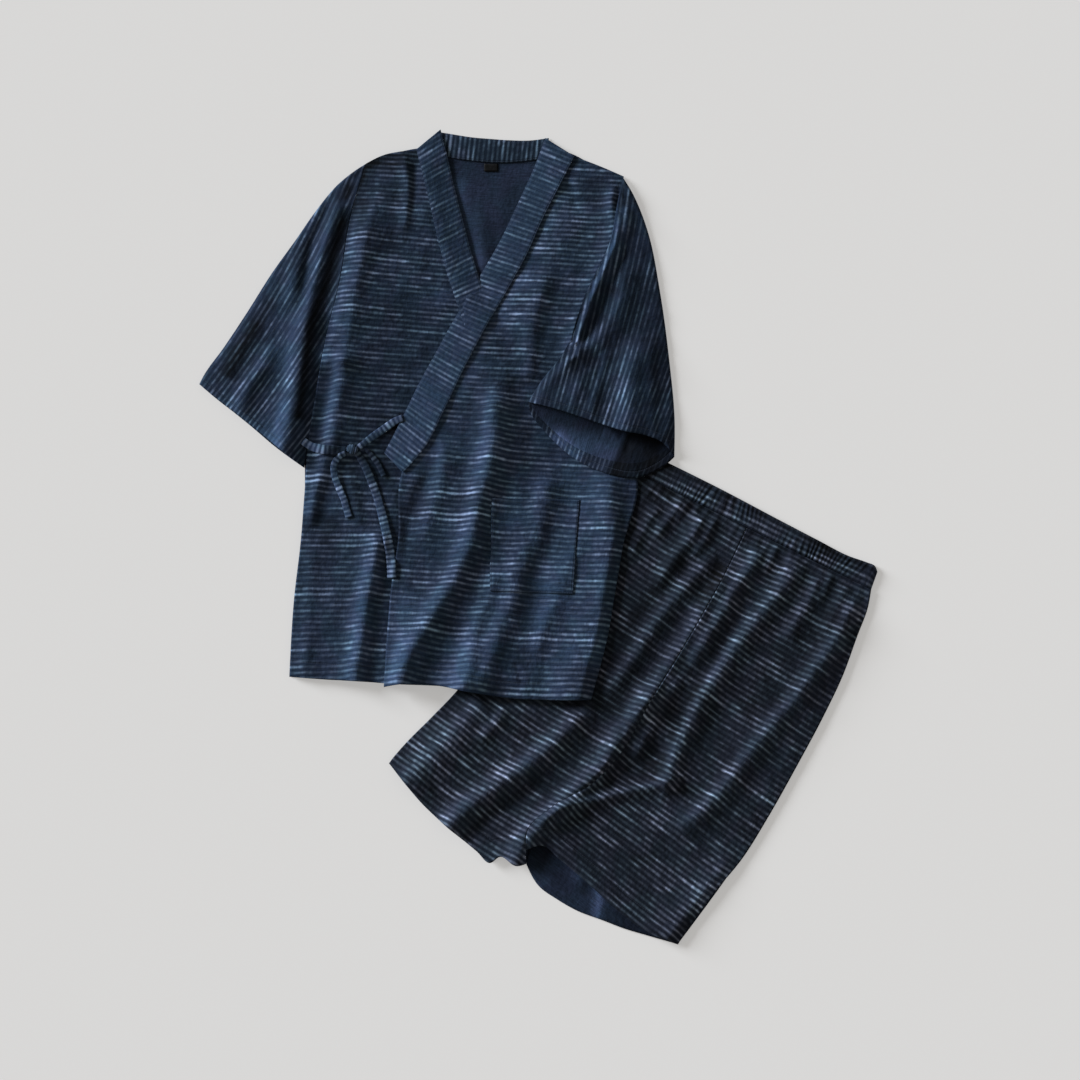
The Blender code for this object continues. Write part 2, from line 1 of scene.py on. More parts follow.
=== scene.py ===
import bpy
import math
import numpy as np
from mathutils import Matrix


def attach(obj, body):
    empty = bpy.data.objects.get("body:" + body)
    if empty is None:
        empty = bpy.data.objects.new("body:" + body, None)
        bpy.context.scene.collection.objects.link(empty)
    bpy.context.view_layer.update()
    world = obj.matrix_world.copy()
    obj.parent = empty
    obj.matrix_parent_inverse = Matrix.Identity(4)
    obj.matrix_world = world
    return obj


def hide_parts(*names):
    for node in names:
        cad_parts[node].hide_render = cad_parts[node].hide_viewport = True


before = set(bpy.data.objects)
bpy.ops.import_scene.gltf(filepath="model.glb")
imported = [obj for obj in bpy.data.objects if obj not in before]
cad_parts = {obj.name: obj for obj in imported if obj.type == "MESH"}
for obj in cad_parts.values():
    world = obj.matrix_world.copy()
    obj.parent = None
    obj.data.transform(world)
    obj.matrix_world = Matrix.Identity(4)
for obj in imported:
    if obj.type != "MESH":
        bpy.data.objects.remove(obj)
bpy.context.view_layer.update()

# The jinbei set lies on Z = 0. Layout points (u right, v down) are in units of
# GRID mm; everything below is in millimetres until a mesh is written.
GRID = 1.34
ORIGIN = (538.0, 537.04)
NET = 2.1      # spacing of the points of a panel that shows
HIDDEN = 6.0   # and of one that lies under another
CELL = 1.6     # cell of the height maps
HALF = (476.0, 564.0)
WALL = 1.0
GAP = 0.45
PITCH = 7.2                      # stripe to stripe


# ---------------------------------------------------------------- plan geometry
def plan(points):
    p = np.asarray(points, float)
    return np.stack([(p[..., 0] - ORIGIN[0]) * GRID, (ORIGIN[1] - p[..., 1]) * GRID], -1)


def layout(xy):
    return xy[..., 0] / GRID + ORIGIN[0], ORIGIN[1] - xy[..., 1] / GRID


def smooth_at(points, at):
    """Points of a smooth line through the given ones, at places counted in legs."""
    p = np.asarray(points, float)
    if len(p) == 2:
        return p[0] + (p[1] - p[0]) * np.asarray(at)[:, None]
    h = np.maximum(np.sqrt((np.diff(p, axis=0) ** 2).sum(1)), 1e-6)[:, None]
    d = np.diff(p, axis=0) / h
    m = np.empty_like(p)
    m[1:-1] = (d[:-1] * h[1:] + d[1:] * h[:-1]) / (h[1:] + h[:-1])
    m[0], m[-1] = 1.5 * d[0] - 0.5 * m[1], 1.5 * d[-1] - 0.5 * m[-2]
    k = np.clip(np.asarray(at, float).astype(int), 0, len(p) - 2)
    f = (np.asarray(at, float) - k)[:, None]
    hk = h[k]
    return ((2 * f ** 3 - 3 * f ** 2 + 1) * p[k] + (f ** 3 - 2 * f ** 2 + f) * hk * m[k]
            + (-2 * f ** 3 + 3 * f ** 2) * p[k + 1] + (f ** 3 - f ** 2) * hk * m[k + 1])


def smooth(points, per=8):
    return smooth_at(points, np.linspace(0, len(points) - 1, (len(points) - 1) * per + 1))


def by_length(points, count):
    line = smooth(points)
    run = np.r_[0, np.sqrt((np.diff(line, axis=0) ** 2).sum(1)).cumsum()]
    at = np.linspace(0, run[-1], count)
    return np.stack([np.interp(at, run, line[:, k]) for k in range(line.shape[1])], -1)


def patch(first, last, left, right, t):
    s = np.linspace(0, 1, len(first))[None, :, None]
    ruled = left[:, None] * (1 - s) + right[:, None] * s
    first_line = left[0] * (1 - s[0]) + right[0] * s[0]
    last_line = left[-1] * (1 - s[0]) + right[-1] * s[0]
    fall, rise = t[:, None, None] ** 1.5, (1 - t)[:, None, None] ** 1.5
    return ruled + rise * (first - first_line)[None] + fall * (last - last_line)[None]


def inset(net, gap):
    net = net.copy()
    for a, b in ((0, 1), (-1, -2)):
        for view in (net, net.transpose(1, 0, 2)):
            step = view[b] - view[a]
            run = np.maximum(np.hypot(*step.T), 1e-6)[:, None]
            view[a] += step / run * np.minimum(gap, 0.3 * run)
    return net


def row_places(left, right, step):
    """Places down a panel, counted in its section rows, about a step apart."""
    run = (np.hypot(*np.diff(left, axis=0).T) + np.hypot(*np.diff(right, axis=0).T)) / 2
    at = [np.linspace(k, k + 1, max(1, int(round(r / step))), endpoint=False)
          for k, r in enumerate(run)]
    return np.concatenate(at + [[len(left) - 1.0]])


def panel_net(piece, step, gap=0.04, at=None):
    rows = plan(np.array(piece["rows"], float).reshape(-1, 2, 2))
    if at is None:
        at = row_places(rows[:, 0], rows[:, 1], step)
    left, right = smooth_at(rows[:, 0], at), smooth_at(rows[:, 1], at)
    wide = np.hypot(*(right - left).T).mean()
    across = max(3, int(round(wide / step)) + 1)
    first = by_length(plan(piece["top"]) if "top" in piece else rows[0], across)
    last = by_length(plan(piece["hem"]) if "hem" in piece else rows[-1], across)
    return inset(patch(first, last, left, right, at / at[-1]), gap)


def rim_of(rows, cols):
    top = [j for j in range(cols)]
    right = [i * cols + cols - 1 for i in range(1, rows)]
    low = [(rows - 1) * cols + j for j in range(cols - 2, -1, -1)]
    left = [i * cols for i in range(rows - 2, 0, -1)]
    return np.array(top + right + low + left)


# ---------------------------------------------------------------- layout tables
ARMHOLE_RIGHT = [(366, 163), (361, 180), (350, 219), (340, 280), (328, 328),
                 (319, 372), (313, 410), (308, 440)]
ARMHOLE_LEFT = [(623, 177), (618, 200), (610, 241), (583, 301), (571, 352)]

JACKET_BACK = dict(
    rows=[(366, 163, 623, 177), (357, 180, 622, 200), (345, 219, 615, 241),
          (335, 280, 588, 301), (323, 328, 577, 352), (314, 372, 584, 380),
          (308, 410, 596, 410), (304.5, 440, 617, 440), (304.4, 464, 626, 464),
          (304.4, 490, 630, 490), (300.5, 540, 623, 546), (293.6, 600, 614, 600),
          (289.5, 677, 591, 700)],
    top=[(366, 163), (400, 151), (425, 147), (448, 148), (490, 151), (540, 150),
         (565, 151), (600, 168), (623, 177)],
    hem=[(289.5, 677), (330, 680), (378, 683), (437, 686), (470, 692), (508, 698),
         (553, 700), (591, 700)])
FRONT_RIGHT = dict(
    rows=[(366, 163, 430, 143), (361, 180, 432, 170), (350, 219, 441, 219),
          (340, 280, 458, 280), (328, 328, 485, 325), (319, 372, 505, 372),
          (313, 410, 515, 410), (308, 440, 520, 440), (304.4, 490, 523, 490),
          (300.5, 540, 524, 545), (293.6, 600, 524, 605), (289, 677, 524, 690)],
    top=[(366, 163), (385, 154), (400, 151), (418, 149), (430, 143)],
    hem=[(289, 677), (330, 680), (357, 681), (378, 683), (437, 686), (524, 690)])
FRONT_LEFT = dict(
    rows=[(560, 150, 623, 177), (545, 190, 618, 200), (520, 240, 610, 241),
          (490, 301, 583, 301), (463, 352, 571, 352), (438, 400, 586, 400),
          (415, 440, 615, 437), (401, 475, 637, 479), (398, 540, 623, 546),
          (392, 580, 617, 580), (387, 635, 608, 635), (384, 687, 591, 700)],
    top=[(560, 150), (575, 156), (601, 166), (624, 176)],
    hem=[(384, 687), (400, 684), (440, 686), (470, 692), (508, 698), (553, 700),
         (591, 700)])
SLEEVE_RIGHT = dict(
    seam=ARMHOLE_RIGHT,
    outer=[(366, 161), (351, 171), (339.4, 180.6), (314.6, 210.4), (296.2, 237.2),
           (271.2, 272.4), (247, 311), (222.4, 348.2), (203.4, 374.8), (198.6, 384)],
    under=[(308, 440), (304, 468)],
    cuff=[(198.6, 384), (214, 396.2), (235, 412.6), (251, 424.6), (275, 445), (304, 468)],
    cuff_under=[(198.6, 384), (214, 397.2), (235, 413.6), (251, 426.6), (275, 447), (304, 468)])
SLEEVE_LEFT = dict(
    seam=ARMHOLE_LEFT,
    outer=[(624, 176), (633.6, 191.6), (641.2, 208.4), (648.8, 230.4), (660.6, 290),
           (669.8, 360), (675, 420), (674.6, 457)],
    under=[(571, 352), (559, 361), (545, 376), (536, 389), (528, 402)],
    cuff=[(674.6, 457), (663, 443), (644, 435), (627, 432), (595, 422), (559, 410),
          (528, 402)],
    cuff_under=[(674.6, 457), (663, 467), (637, 478), (605, 473), (575, 459),
                (547, 434), (530, 411), (528, 402)])
BAND_RIGHT = dict(
    rows=[(416, 149, 440.5, 128.5), (422, 172, 447, 153), (430, 205, 455, 187),
          (438, 240, 464, 222), (446, 270, 472, 252), (455, 298, 481, 282),
          (466, 330, 493, 314)])
BAND_LEFT = dict(
    rows=[(545, 137, 575, 156), (536, 162, 563, 180), (519, 200, 545, 215),
          (500, 240, 527, 255), (480, 275, 508, 290), (458, 312, 485, 330),
          (437, 350, 463, 372), (418, 385, 446, 408), (401, 420, 425, 448),
          (384, 453, 403, 473)])
BAND_BACK = dict(
    rows=[(438, 131, 438, 154), (455, 133.8, 455, 158), (470, 136.2, 470, 160),
          (490, 138, 490, 162), (510, 139.4, 510, 162), (530, 139.6, 530, 160),
          (549, 137, 549, 157)])
POCKET = dict(
    rows=[(492, 498, 580, 500), (491, 522, 578, 524), (491, 546, 576, 548),
          (490, 569, 575, 571), (490, 591, 573, 594)])
LABEL = dict(rows=[(484, 163, 498, 163), (484, 171, 498, 171)])

WAIST_TOP = [(634, 446), (672.6, 464.8), (724.6, 490.8), (774.4, 517.2), (818.8, 540.4),
             (849.2, 556), (868, 562.6), (875, 565.6), (878, 572)]
WAIST_SEAM = [(625, 467), (747, 528), (871.6, 590)]
SHORTS_FRONT_RIGHT = dict(
    rows=[(625, 467, 747, 528), (592, 510, 728, 568), (560, 552, 704, 612),
          (522, 604, 676, 660), (488, 649, 651, 700), (455, 693, 618, 757),
          (430, 719, 590, 785), (407, 742, 553, 806), (397.6, 752.4, 527, 832),
          (392.6, 758.4, 526, 850), (388.8, 763.6, 526, 864)],
    hem=[(388.8, 763.6), (405.6, 784.4), (423, 805), (447, 827), (477, 852), (490, 863.4),
         (500, 857), (517, 866), (526, 864)])
SHORTS_FRONT_LEFT = dict(
    rows=[(747, 528, 871.6, 590), (728, 568, 868.4, 607.6), (704, 612, 858, 635.6),
          (676, 660, 843.4, 675.6), (651, 700, 823.4, 717.6), (618, 757, 797.4, 766.2),
          (590, 785, 769.6, 815.8), (553, 806, 742.2, 859.6), (527, 832, 711, 897),
          (526, 850, 678, 945)],
    hem=[(526, 850), (543, 846), (559, 859), (578, 875), (596, 891), (620, 913),
         (647, 932), (678, 945)])
SHORTS_BACK_RIGHT = dict(
    rows=[(625, 467, 747, 528), (560, 552, 704, 612), (488, 649, 651, 700),
          (455, 693, 618, 757), (430, 719, 590, 785), (405, 745, 553, 806),
          (390, 763, 526, 864)],
    hem=[(390, 763), (407, 783), (423, 805), (447, 827), (477, 852), (490, 862),
         (500, 857), (517, 866), (526, 864)])
SHORTS_BACK_LEFT = dict(
    rows=[(744, 527, 871.4, 590), (700, 610, 858, 635.6), (647, 698, 823.4, 717.6),
          (614, 754, 797.2, 766.2), (586, 782, 769.4, 815.8), (549, 803, 734.4, 868),
          (522, 863, 678, 945)],
    hem=[(526, 864), (539, 887), (557, 900), (577, 911.4), (602, 920.8), (625, 929.6),
         (646.6, 936), (678, 945)])

# Edges where an upper layer comes down to the layer under it.
JACKET_CLOSED = [
    [(304, 469), (303, 490), (300, 540), (295, 600), (290, 677)],
    [(637, 479), (623, 546), (617, 580), (608, 635), (591, 700)],
    [(366, 163), (400, 151), (418, 150)], [(575, 156), (600, 168), (623, 177)],
    SLEEVE_RIGHT["outer"], SLEEVE_RIGHT["under"],
]
SLEEVE_LEFT_CLOSED = [SLEEVE_LEFT["outer"], SLEEVE_LEFT["under"]]
SHORTS_CLOSED = [
    [(625, 467), (560, 552), (488, 649), (455, 693), (430, 719), (390, 763)],
    [(871, 590), (858, 636), (843, 676), (823, 718), (797, 766), (769, 816),
     (742, 860), (678, 945)],
]
INNER_THIGH = [(643, 721), (618, 757), (590, 785), (553, 806), (527, 832), (526, 864)]

# A fold row: crest points from top to bottom, width to its right as laid out,
# width to its left, height, and how far it fades in at its start and its end.
# Widths, heights and fades are in mm. A trough has a negative height.
JACKET_FOLDS = [
    # the long main fold of the overlapping front, from under the sleeve to the hem
    ([(497, 376), (494, 410), (492, 440), (489, 462), (484, 481), (478, 500), (475, 520),
      (470, 541), (462, 560), (453, 580), (442, 598), (434, 612), (422, 631), (411, 651),
      (403, 670), (399, 686)], 19, 14, 11.5, 35, 0),
    ([(414, 592), (408, 620), (401, 650), (394, 690)], 26, 15, 3.6, 18, 0),
    ([(486, 430), (476, 490), (462, 540), (442, 585)], 30, 40, 1.8, 40, 40),
    # the second one, its lesser neighbour, and the broad rise beside the side seam
    ([(552, 470), (545, 496), (540, 518), (535, 540), (525, 560), (516, 580), (510, 598),
      (504, 615), (498, 632), (493, 648), (486, 666), (476, 688)], 17, 20, 8.5, 22, 0),
    ([(500, 566), (492, 586), (485, 606), (478, 622), (472, 642), (468, 662), (460, 684)],
     9, 14, 5.6, 18, 0),
    ([(480, 636), (474, 660), (465, 686)], 10, 24, 5.0, 18, 0),
    ([(610, 470), (608, 500), (613, 540), (612, 560), (609, 580), (606, 600), (602, 620),
      (597, 640), (589, 662), (579, 700)], 14, 30, 8.0, 14, 0),
    ([(584, 530), (576, 550), (567, 568), (560, 586), (552, 606), (545, 622), (536, 642),
      (527, 664)], 14, 13, 3.6, 18, 22),
    ([(570, 560), (566, 620), (562, 690)], 34, 40, 3.0, 30, 0),
    # the fall of the right front away from its armhole
    ([(384, 178), (368, 240), (356, 300), (347, 360), (338, 420), (330, 470)],
     84, 12, 6.5, 40, 40),
    ([(548, 268), (540, 296), (532, 320), (530, 350), (528, 386)], 12, 36, 5.0, 25, 15),
    ([(370, 196), (362, 220), (358, 240), (353, 260), (348, 280), (344, 300), (340, 320),
      (334, 340), (329, 356), (324, 372)], 24, 12, 8.5, 45, 20),
    ([(342, 348), (340, 366), (338, 384), (335, 402), (331, 420), (328, 440), (321, 460)],
     20, 8.5, 8.0, 16, 20),
    ([(402, 152), (408, 180), (407, 212), (401, 240)], 6, 8, 3.0, 5, 20),
    ([(414, 160), (414, 190), (411, 222)], 5, 5, -2.2, 8, 16),
    ([(383, 322), (408, 345), (438, 383)], 12, 14, 1.6, 25, 25),
    # under the tie
    ([(444, 434), (443, 452), (441, 470), (438, 490), (432, 507), (426, 525), (419, 547)],
     14, 7, 4.2, 20, 25),
    ([(432, 468), (420, 494), (411, 522), (407, 550)], 9, 9, -3.0, 15, 25),
    ([(325, 446), (322, 466), (317, 485), (312, 503), (306, 530)], 11, 7, 5.2, 10, 20),
    ([(333, 476), (324, 508), (318, 546)], 10, 10, -2.0, 20, 25),
    ([(352, 470), (357, 500), (360, 530)], 7, 8, 1.8, 15, 15),
    # lower right front
    ([(378, 526), (377, 545), (374, 562), (370, 582), (366, 602), (363, 622), (360, 642),
      (357, 662), (354, 684)], 13, 16, 10.5, 22, 0),
    ([(340, 560), (334, 610), (331, 684)], 14, 12, 1.6, 30, 0),
    ([(312, 540), (309, 600), (305, 680)], 10, 8, 1.6, 30, 0),
    # left shoulder and the edge beside the left armhole
    ([(614, 184), (612, 205), (615, 225), (614, 241), (609, 257), (602, 275), (595, 292),
      (589, 306), (582, 322), (576, 338), (569, 353)], 10, 10, 7.0, 14, 0),
    ([(558, 176), (556, 190), (548, 212)], 9, 8, 1.6, 6, 20),
    ([(567, 182), (574, 198), (577, 214)], 7, 7, -1.8, 8, 14),
    ([(576, 214), (560, 250), (538, 290), (512, 330)], 20, 18, 1.8, 20, 30),
    ([(590, 380), (560, 398), (520, 392)], 14, 20, 1.6, 20, 20),
    # small ones
    ([(548, 604), (540, 646), (531, 697)], 9, 9, 1.5, 20, 0),
    ([(515, 662), (519, 673), (522, 688)], 3.5, 3.5, -1.4, 5, 8),
    ([(562, 508), (556, 550), (546, 600)], 9, 12, 1.5, 15, 20),
]
SLEEVE_RIGHT_FOLDS = [
    ([(340, 196), (333, 220), (326, 240), (320, 260), (315, 280), (310, 300), (306, 320),
      (302, 340)], 13, 7.0, 7.5, 15, 25),
    ([(331, 198), (320, 223), (311, 246), (305, 270), (301, 296)], 6, 6, -3.2, 12, 16),
    ([(312, 292), (307, 320), (303, 340), (300, 360), (298, 380), (295, 400), (290, 420),
      (283, 450)], 20, 16, 14.0, 45, 0),
    ([(302, 246), (297, 268), (292, 288), (284, 316)], 13, 11, 4.0, 20, 25),
    ([(278, 336), (268, 355), (257, 373), (247, 388), (239, 404)], 13, 9, 6.5, 25, 0),
    ([(262, 312), (243, 345), (222, 384)], 9, 11, 1.6, 25, 10),
]
SLEEVE_LEFT_FOLDS = [
    ([(643, 326), (639, 345), (634, 362), (630, 380), (629, 400), (626, 418), (622, 436)],
     26, 17, 10.5, 45, 0),
    ([(628, 258), (625, 272), (623, 286), (620, 300), (615, 312), (608, 324), (599, 336),
      (588, 346), (573, 354)], 18, 7, 5.2, 22, 6),
    ([(628, 244), (619, 264), (611, 285), (602, 308), (592, 330), (581, 344)],
     8, 8, -3.0, 14, 8),
    ([(640, 334), (622, 340), (604, 342)], 10, 12, -1.6, 10, 10),
    ([(574, 354), (560, 368), (547, 384), (536, 401)], 9, 6, 2.0, 6, 0),
    ([(608, 350), (602, 372), (596, 394), (592, 410)], 6, 5, 2.4, 8, 0),
    ([(582, 376), (577, 390), (573, 408)], 7, 6, 1.6, 8, 0),
    ([(651, 330), (652, 370), (653, 438)], 6, 8, 1.2, 30, 0),
    ([(628, 206), (627, 222), (625, 240)], 6, 5, 3.2, 6, 10),
    ([(619, 184), (617, 200), (618, 212)], 4, 4, -2.0, 4, 8),
]
SHORTS_FOLDS = [
    # the long gather folds, from the waist to the legs
    ([(722, 545), (705, 565), (686, 585), (669, 605), (654, 625), (641, 645), (628, 665),
      (614, 685), (600, 705)], 14, 9.5, 6.5, 40, 45),
    ([(742, 553), (731, 570), (719, 587), (706, 605), (695, 625), (682, 645), (669, 665),
      (657, 685), (643, 704), (629, 725)], 14, 10, 8.0, 50, 25),
    ([(664, 677), (654, 691), (643, 705), (630, 725), (614, 745), (604, 765), (584, 785),
      (563, 805), (540, 825), (521, 846), (516, 862)], 14, 16, 11.5, 30, 0),
    ([(762, 545), (751, 565), (738, 585), (727, 605), (715, 625), (703, 645), (691, 665),
      (681, 682)], 14, 9.5, 8.5, 14, 40),
    ([(803, 552), (795, 566), (784, 585), (768, 605), (753, 625), (737, 645), (724, 665),
      (711, 685), (698, 705), (689, 725), (679, 745), (671, 765), (666, 780)],
     16, 11, 8.6, 30, 0),
    ([(684, 672), (673, 690), (662, 707), (651, 726), (641, 746), (630, 766)], 10, 9, 4.6, 16, 20),
    ([(506, 704), (499, 718), (488, 732), (474, 746)], 9, 9, 3.6, 8, 16),
    ([(860, 585), (853, 605), (842, 625), (832, 645), (818, 665), (805, 685), (790, 705),
      (772, 725), (757, 745), (741, 765), (726, 785), (707, 805), (688, 822), (668, 836)],
     17, 11, 8.5, 45, 40),
    ([(820, 575), (809, 600), (800, 615), (791, 630), (780, 646)], 12, 8, 4.6, 6, 22),
    ([(848, 585), (837, 605), (828, 625), (818, 642)], 7, 8, 3.4, 6, 22),
    ([(740, 690), (716, 724), (698, 752)], 14, 12, -1.8, 30, 30),
    # inner thigh: the rim of the folded leg, and the hollow above it
    ([(671, 779), (657, 784), (640, 788), (620, 792), (600, 798), (578, 804), (556, 809),
      (536, 827)], 10, 5.5, 6.5, 0, 12),
    ([(668, 738), (652, 756), (630, 769), (602, 783)], 10, 13, -4.0, 15, 12),
    ([(748, 862), (720, 888), (692, 914), (674, 934)], 9, 24, 5.5, 25, 0),
    ([(548, 824), (565, 850), (585, 872), (606, 893)], 12, 12, 2.0, 10, 0),
    ([(680, 806), (660, 830), (622, 846)], 18, 26, 2.0, 20, 25),
    ([(772, 690), (744, 735), (718, 770)], 16, 16, 1.5, 30, 30),
    # right leg
    ([(598, 698), (571, 725), (550, 745), (528, 764), (498, 784), (470, 805), (447, 826)],
     18, 14, 12.0, 45, 0),
    ([(486, 697), (462, 725), (443, 745), (424, 764), (408, 780)], 26, 15, 9.5, 12, 0),
    ([(548, 780), (520, 801), (492, 818), (470, 840)], 8, 8, -2.4, 20, 0),
    # short gathers under the waistband
    ([(703, 517), (691, 537), (680, 552), (671, 563), (662, 577), (650, 593)],
     11, 9, 6.5, 5, 25),
    ([(686, 497), (673, 514), (662, 528), (652, 542)], 7, 7, 4.0, 5, 15),
    ([(716, 517), (708, 535), (699, 549), (688, 561)], 6, 6, 3.4, 4, 15),
    ([(778, 544), (771, 560), (763, 575)], 6, 6, 3.0, 4, 12),
    ([(661, 505), (648, 522), (636, 544), (624, 566)], 7, 7, 3.0, 5, 25),
    ([(792, 556), (784, 570), (774, 586)], 5, 5, 2.4, 4, 14),
    ([(832, 575), (826, 590), (818, 606)], 5, 5, 2.4, 4, 16),
]

# Painted light (above 0) and painted shade (below 0) in the cloth's colour, where light and shadow fall on
# it.
# Rows as in the fold tables, with a share of the cloth's colour in place of the height.
JACKET_LIGHT_AND_SHADE = [
    ([(380, 180), (380, 260), (386, 340), (376, 410)], 28, 28, -0.30, 10, 30),
    ([(398, 290), (394, 350), (384, 410), (372, 440)], 26, 30, -0.15, 30, 20),
    ([(394, 160), (397, 210), (394, 266)], 12, 16, -0.28, 4, 16),
    ([(366, 196), (361, 220), (355, 246)], 10, 10, -0.40, 6, 16),
    ([(420, 155), (390, 158), (362, 168), (350, 190), (343, 214)], 14, 16, -0.72, 4, 20),
    ([(366, 172), (352, 190), (346, 206)], 7, 7, -0.40, 4, 6),
    ([(353, 200), (344, 240), (338, 276), (330, 310)], 7, 7, -0.40, 6, 10),
    ([(328, 350), (321, 372), (317, 398)], 6, 7, 0.60, 8, 8),
    ([(362, 392), (360, 418), (356, 452)], 18, 16, -0.50, 12, 12),
    ([(398, 416), (388, 448), (386, 500)], 12, 22, -0.50, 6, 25),
    ([(404, 412), (396, 444)], 9, 9, -0.55, 4, 8),
    ([(396, 486), (401, 520), (402, 560)], 5, 6, -0.50, 8, 12),
    ([(404, 504), (440, 502), (486, 500)], 18, 18, -0.30, 10, 14),
    ([(322, 436), (316, 456)], 8, 8, -0.45, 4, 6),
    ([(352, 462), (356, 500), (360, 520)], 9, 10, -0.50, 8, 14),
    ([(328, 506), (322, 545), (320, 600)], 16, 14, -0.28, 20, 30),
    ([(572, 176), (549, 218), (529, 258), (510, 292), (489, 330), (465, 374), (448, 404),
      (424, 448), (406, 478)], 11, 6, 0.85, 6, 4),
    ([(524, 284), (520, 314)], 12, 10, -0.32, 8, 8),
    ([(516, 342), (514, 374)], 9, 9, -0.28, 8, 8),
    ([(496, 402), (524, 408)], 9, 9, 0.40, 6, 6),
    ([(592, 272), (600, 320)], 16, 16, 0.22, 12, 12),
    ([(562, 584), (564, 606)], 8, 8, 0.40, 6, 6),
    ([(590, 176), (594, 196), (590, 210)], 18, 18, -0.45, 4, 12),
    ([(516, 400), (516, 460), (510, 540)], 22, 24, 0.45, 20, 24),
    ([(560, 424), (566, 470), (564, 540)], 28, 26, 0.34, 10, 24),
    ([(546, 498), (546, 566)], 8, 10, -0.32, 8, 12),
    ([(460, 406), (454, 440), (446, 480), (436, 540)], 18, 22, 0.30, 15, 20),
    ([(374, 556), (366, 610), (360, 684)], 18, 22, 0.42, 14, 0),
    ([(404, 580), (398, 630), (396, 684)], 18, 14, 0.34, 14, 0),
    ([(452, 628), (446, 660), (440, 688)], 44, 26, 0.42, 18, 0),
    ([(605, 556), (600, 620), (594, 676)], 8, 9, 0.45, 12, 8),
    ([(576, 664), (572, 694)], 12, 12, -0.35, 6, 0),
    ([(442, 286), (448, 320)], 10, 10, 0.35, 8, 8),
    ([(540, 574), (532, 620), (524, 690)], 20, 20, 0.32, 14, 0),
    ([(578, 548), (572, 600), (566, 630)], 26, 24, 0.28, 12, 20),
    ([(378, 290), (371, 330), (369, 400)], 9, 9, -0.18, 20, 20),
    ([(329, 318), (330, 346)], 8, 8, 0.28, 6, 6),
    ([(317, 362), (316, 396)], 6, 6, 0.25, 8, 8),
    ([(332, 514), (322, 548)], 9, 9, -0.28, 6, 6),
    ([(384, 590), (380, 640), (378, 680)], 8, 8, 0.22, 20, 0),
    ([(420, 640), (419, 690)], 8, 8, 0.28, 16, 0),
    ([(306, 474), (304, 518)], 6, 6, 0.45, 4, 4),
    ([(362, 166), (380, 158)], 7, 7, -0.35, 0, 4),
]
BACK_LIGHT_AND_SHADE = [
    ([(450, 176), (459, 206), (468, 240), (476, 268)], 12, 8, 1.30, 10, 4),
    ([(492, 246), (490, 272)], 10, 10, -0.22, 8, 6),
    ([(476, 180), (470, 210)], 14, 10, 0.15, 10, 10),
]
SLEEVE_RIGHT_LIGHT_AND_SHADE = [
    ([(286, 394), (281, 415), (274, 438)], 12, 12, 0.40, 16, 0),
    ([(352, 178), (338, 200), (322, 222), (300, 248), (276, 284), (254, 318), (234, 348),
      (214, 384)], 12, 7, -0.40, 12, 6),
    ([(262, 318), (246, 346), (226, 380)], 14, 14, -0.38, 10, 6),
    ([(214, 398), (236, 417), (256, 430), (284, 452)], 14, 16, 0.60, 4, 10),
    ([(347, 204), (338, 236), (331, 260), (325, 284), (317, 306), (311, 330), (307, 352),
      (304, 376), (300, 404), (296, 424)], 13, 9, -0.88, 24, 10),
    ([(292, 266), (284, 300), (278, 340), (274, 376)], 12, 12, 0.30, 10, 12),
    ([(356, 168), (350, 184), (346, 204)], 7, 7, -0.50, 0, 8),
    ([(330, 195), (300, 240), (262, 300), (232, 340)], 7, 7, 0.25, 10, 10),
    ([(276, 296), (252, 334), (226, 380)], 8, 8, -0.25, 10, 6),
    ([(268, 336), (262, 362)], 8, 8, -0.25, 4, 4),
]
SLEEVE_LEFT_LIGHT_AND_SHADE = [
    ([(636, 262), (630, 300), (632, 340), (642, 390)], 26, 22, -0.22, 12, 20),
    ([(612, 340), (616, 366), (622, 384)], 12, 12, -0.25, 6, 10),
    ([(634, 200), (638, 222), (640, 246)], 12, 10, 0.70, 6, 12),
    ([(622, 204), (621, 230), (614, 262), (607, 288)], 9, 9, 1.20, 6, 10),
    ([(612, 290), (622, 332)], 10, 10, 0.25, 10, 10),
    ([(652, 330), (656, 370), (660, 412)], 12, 12, -0.25, 12, 12),
    ([(612, 240), (602, 268), (592, 296), (583, 316)], 7, 6, 0.52, 8, 12),
    ([(621, 262), (614, 290), (607, 316), (598, 334)], 7, 7, -0.35, 8, 8),
]
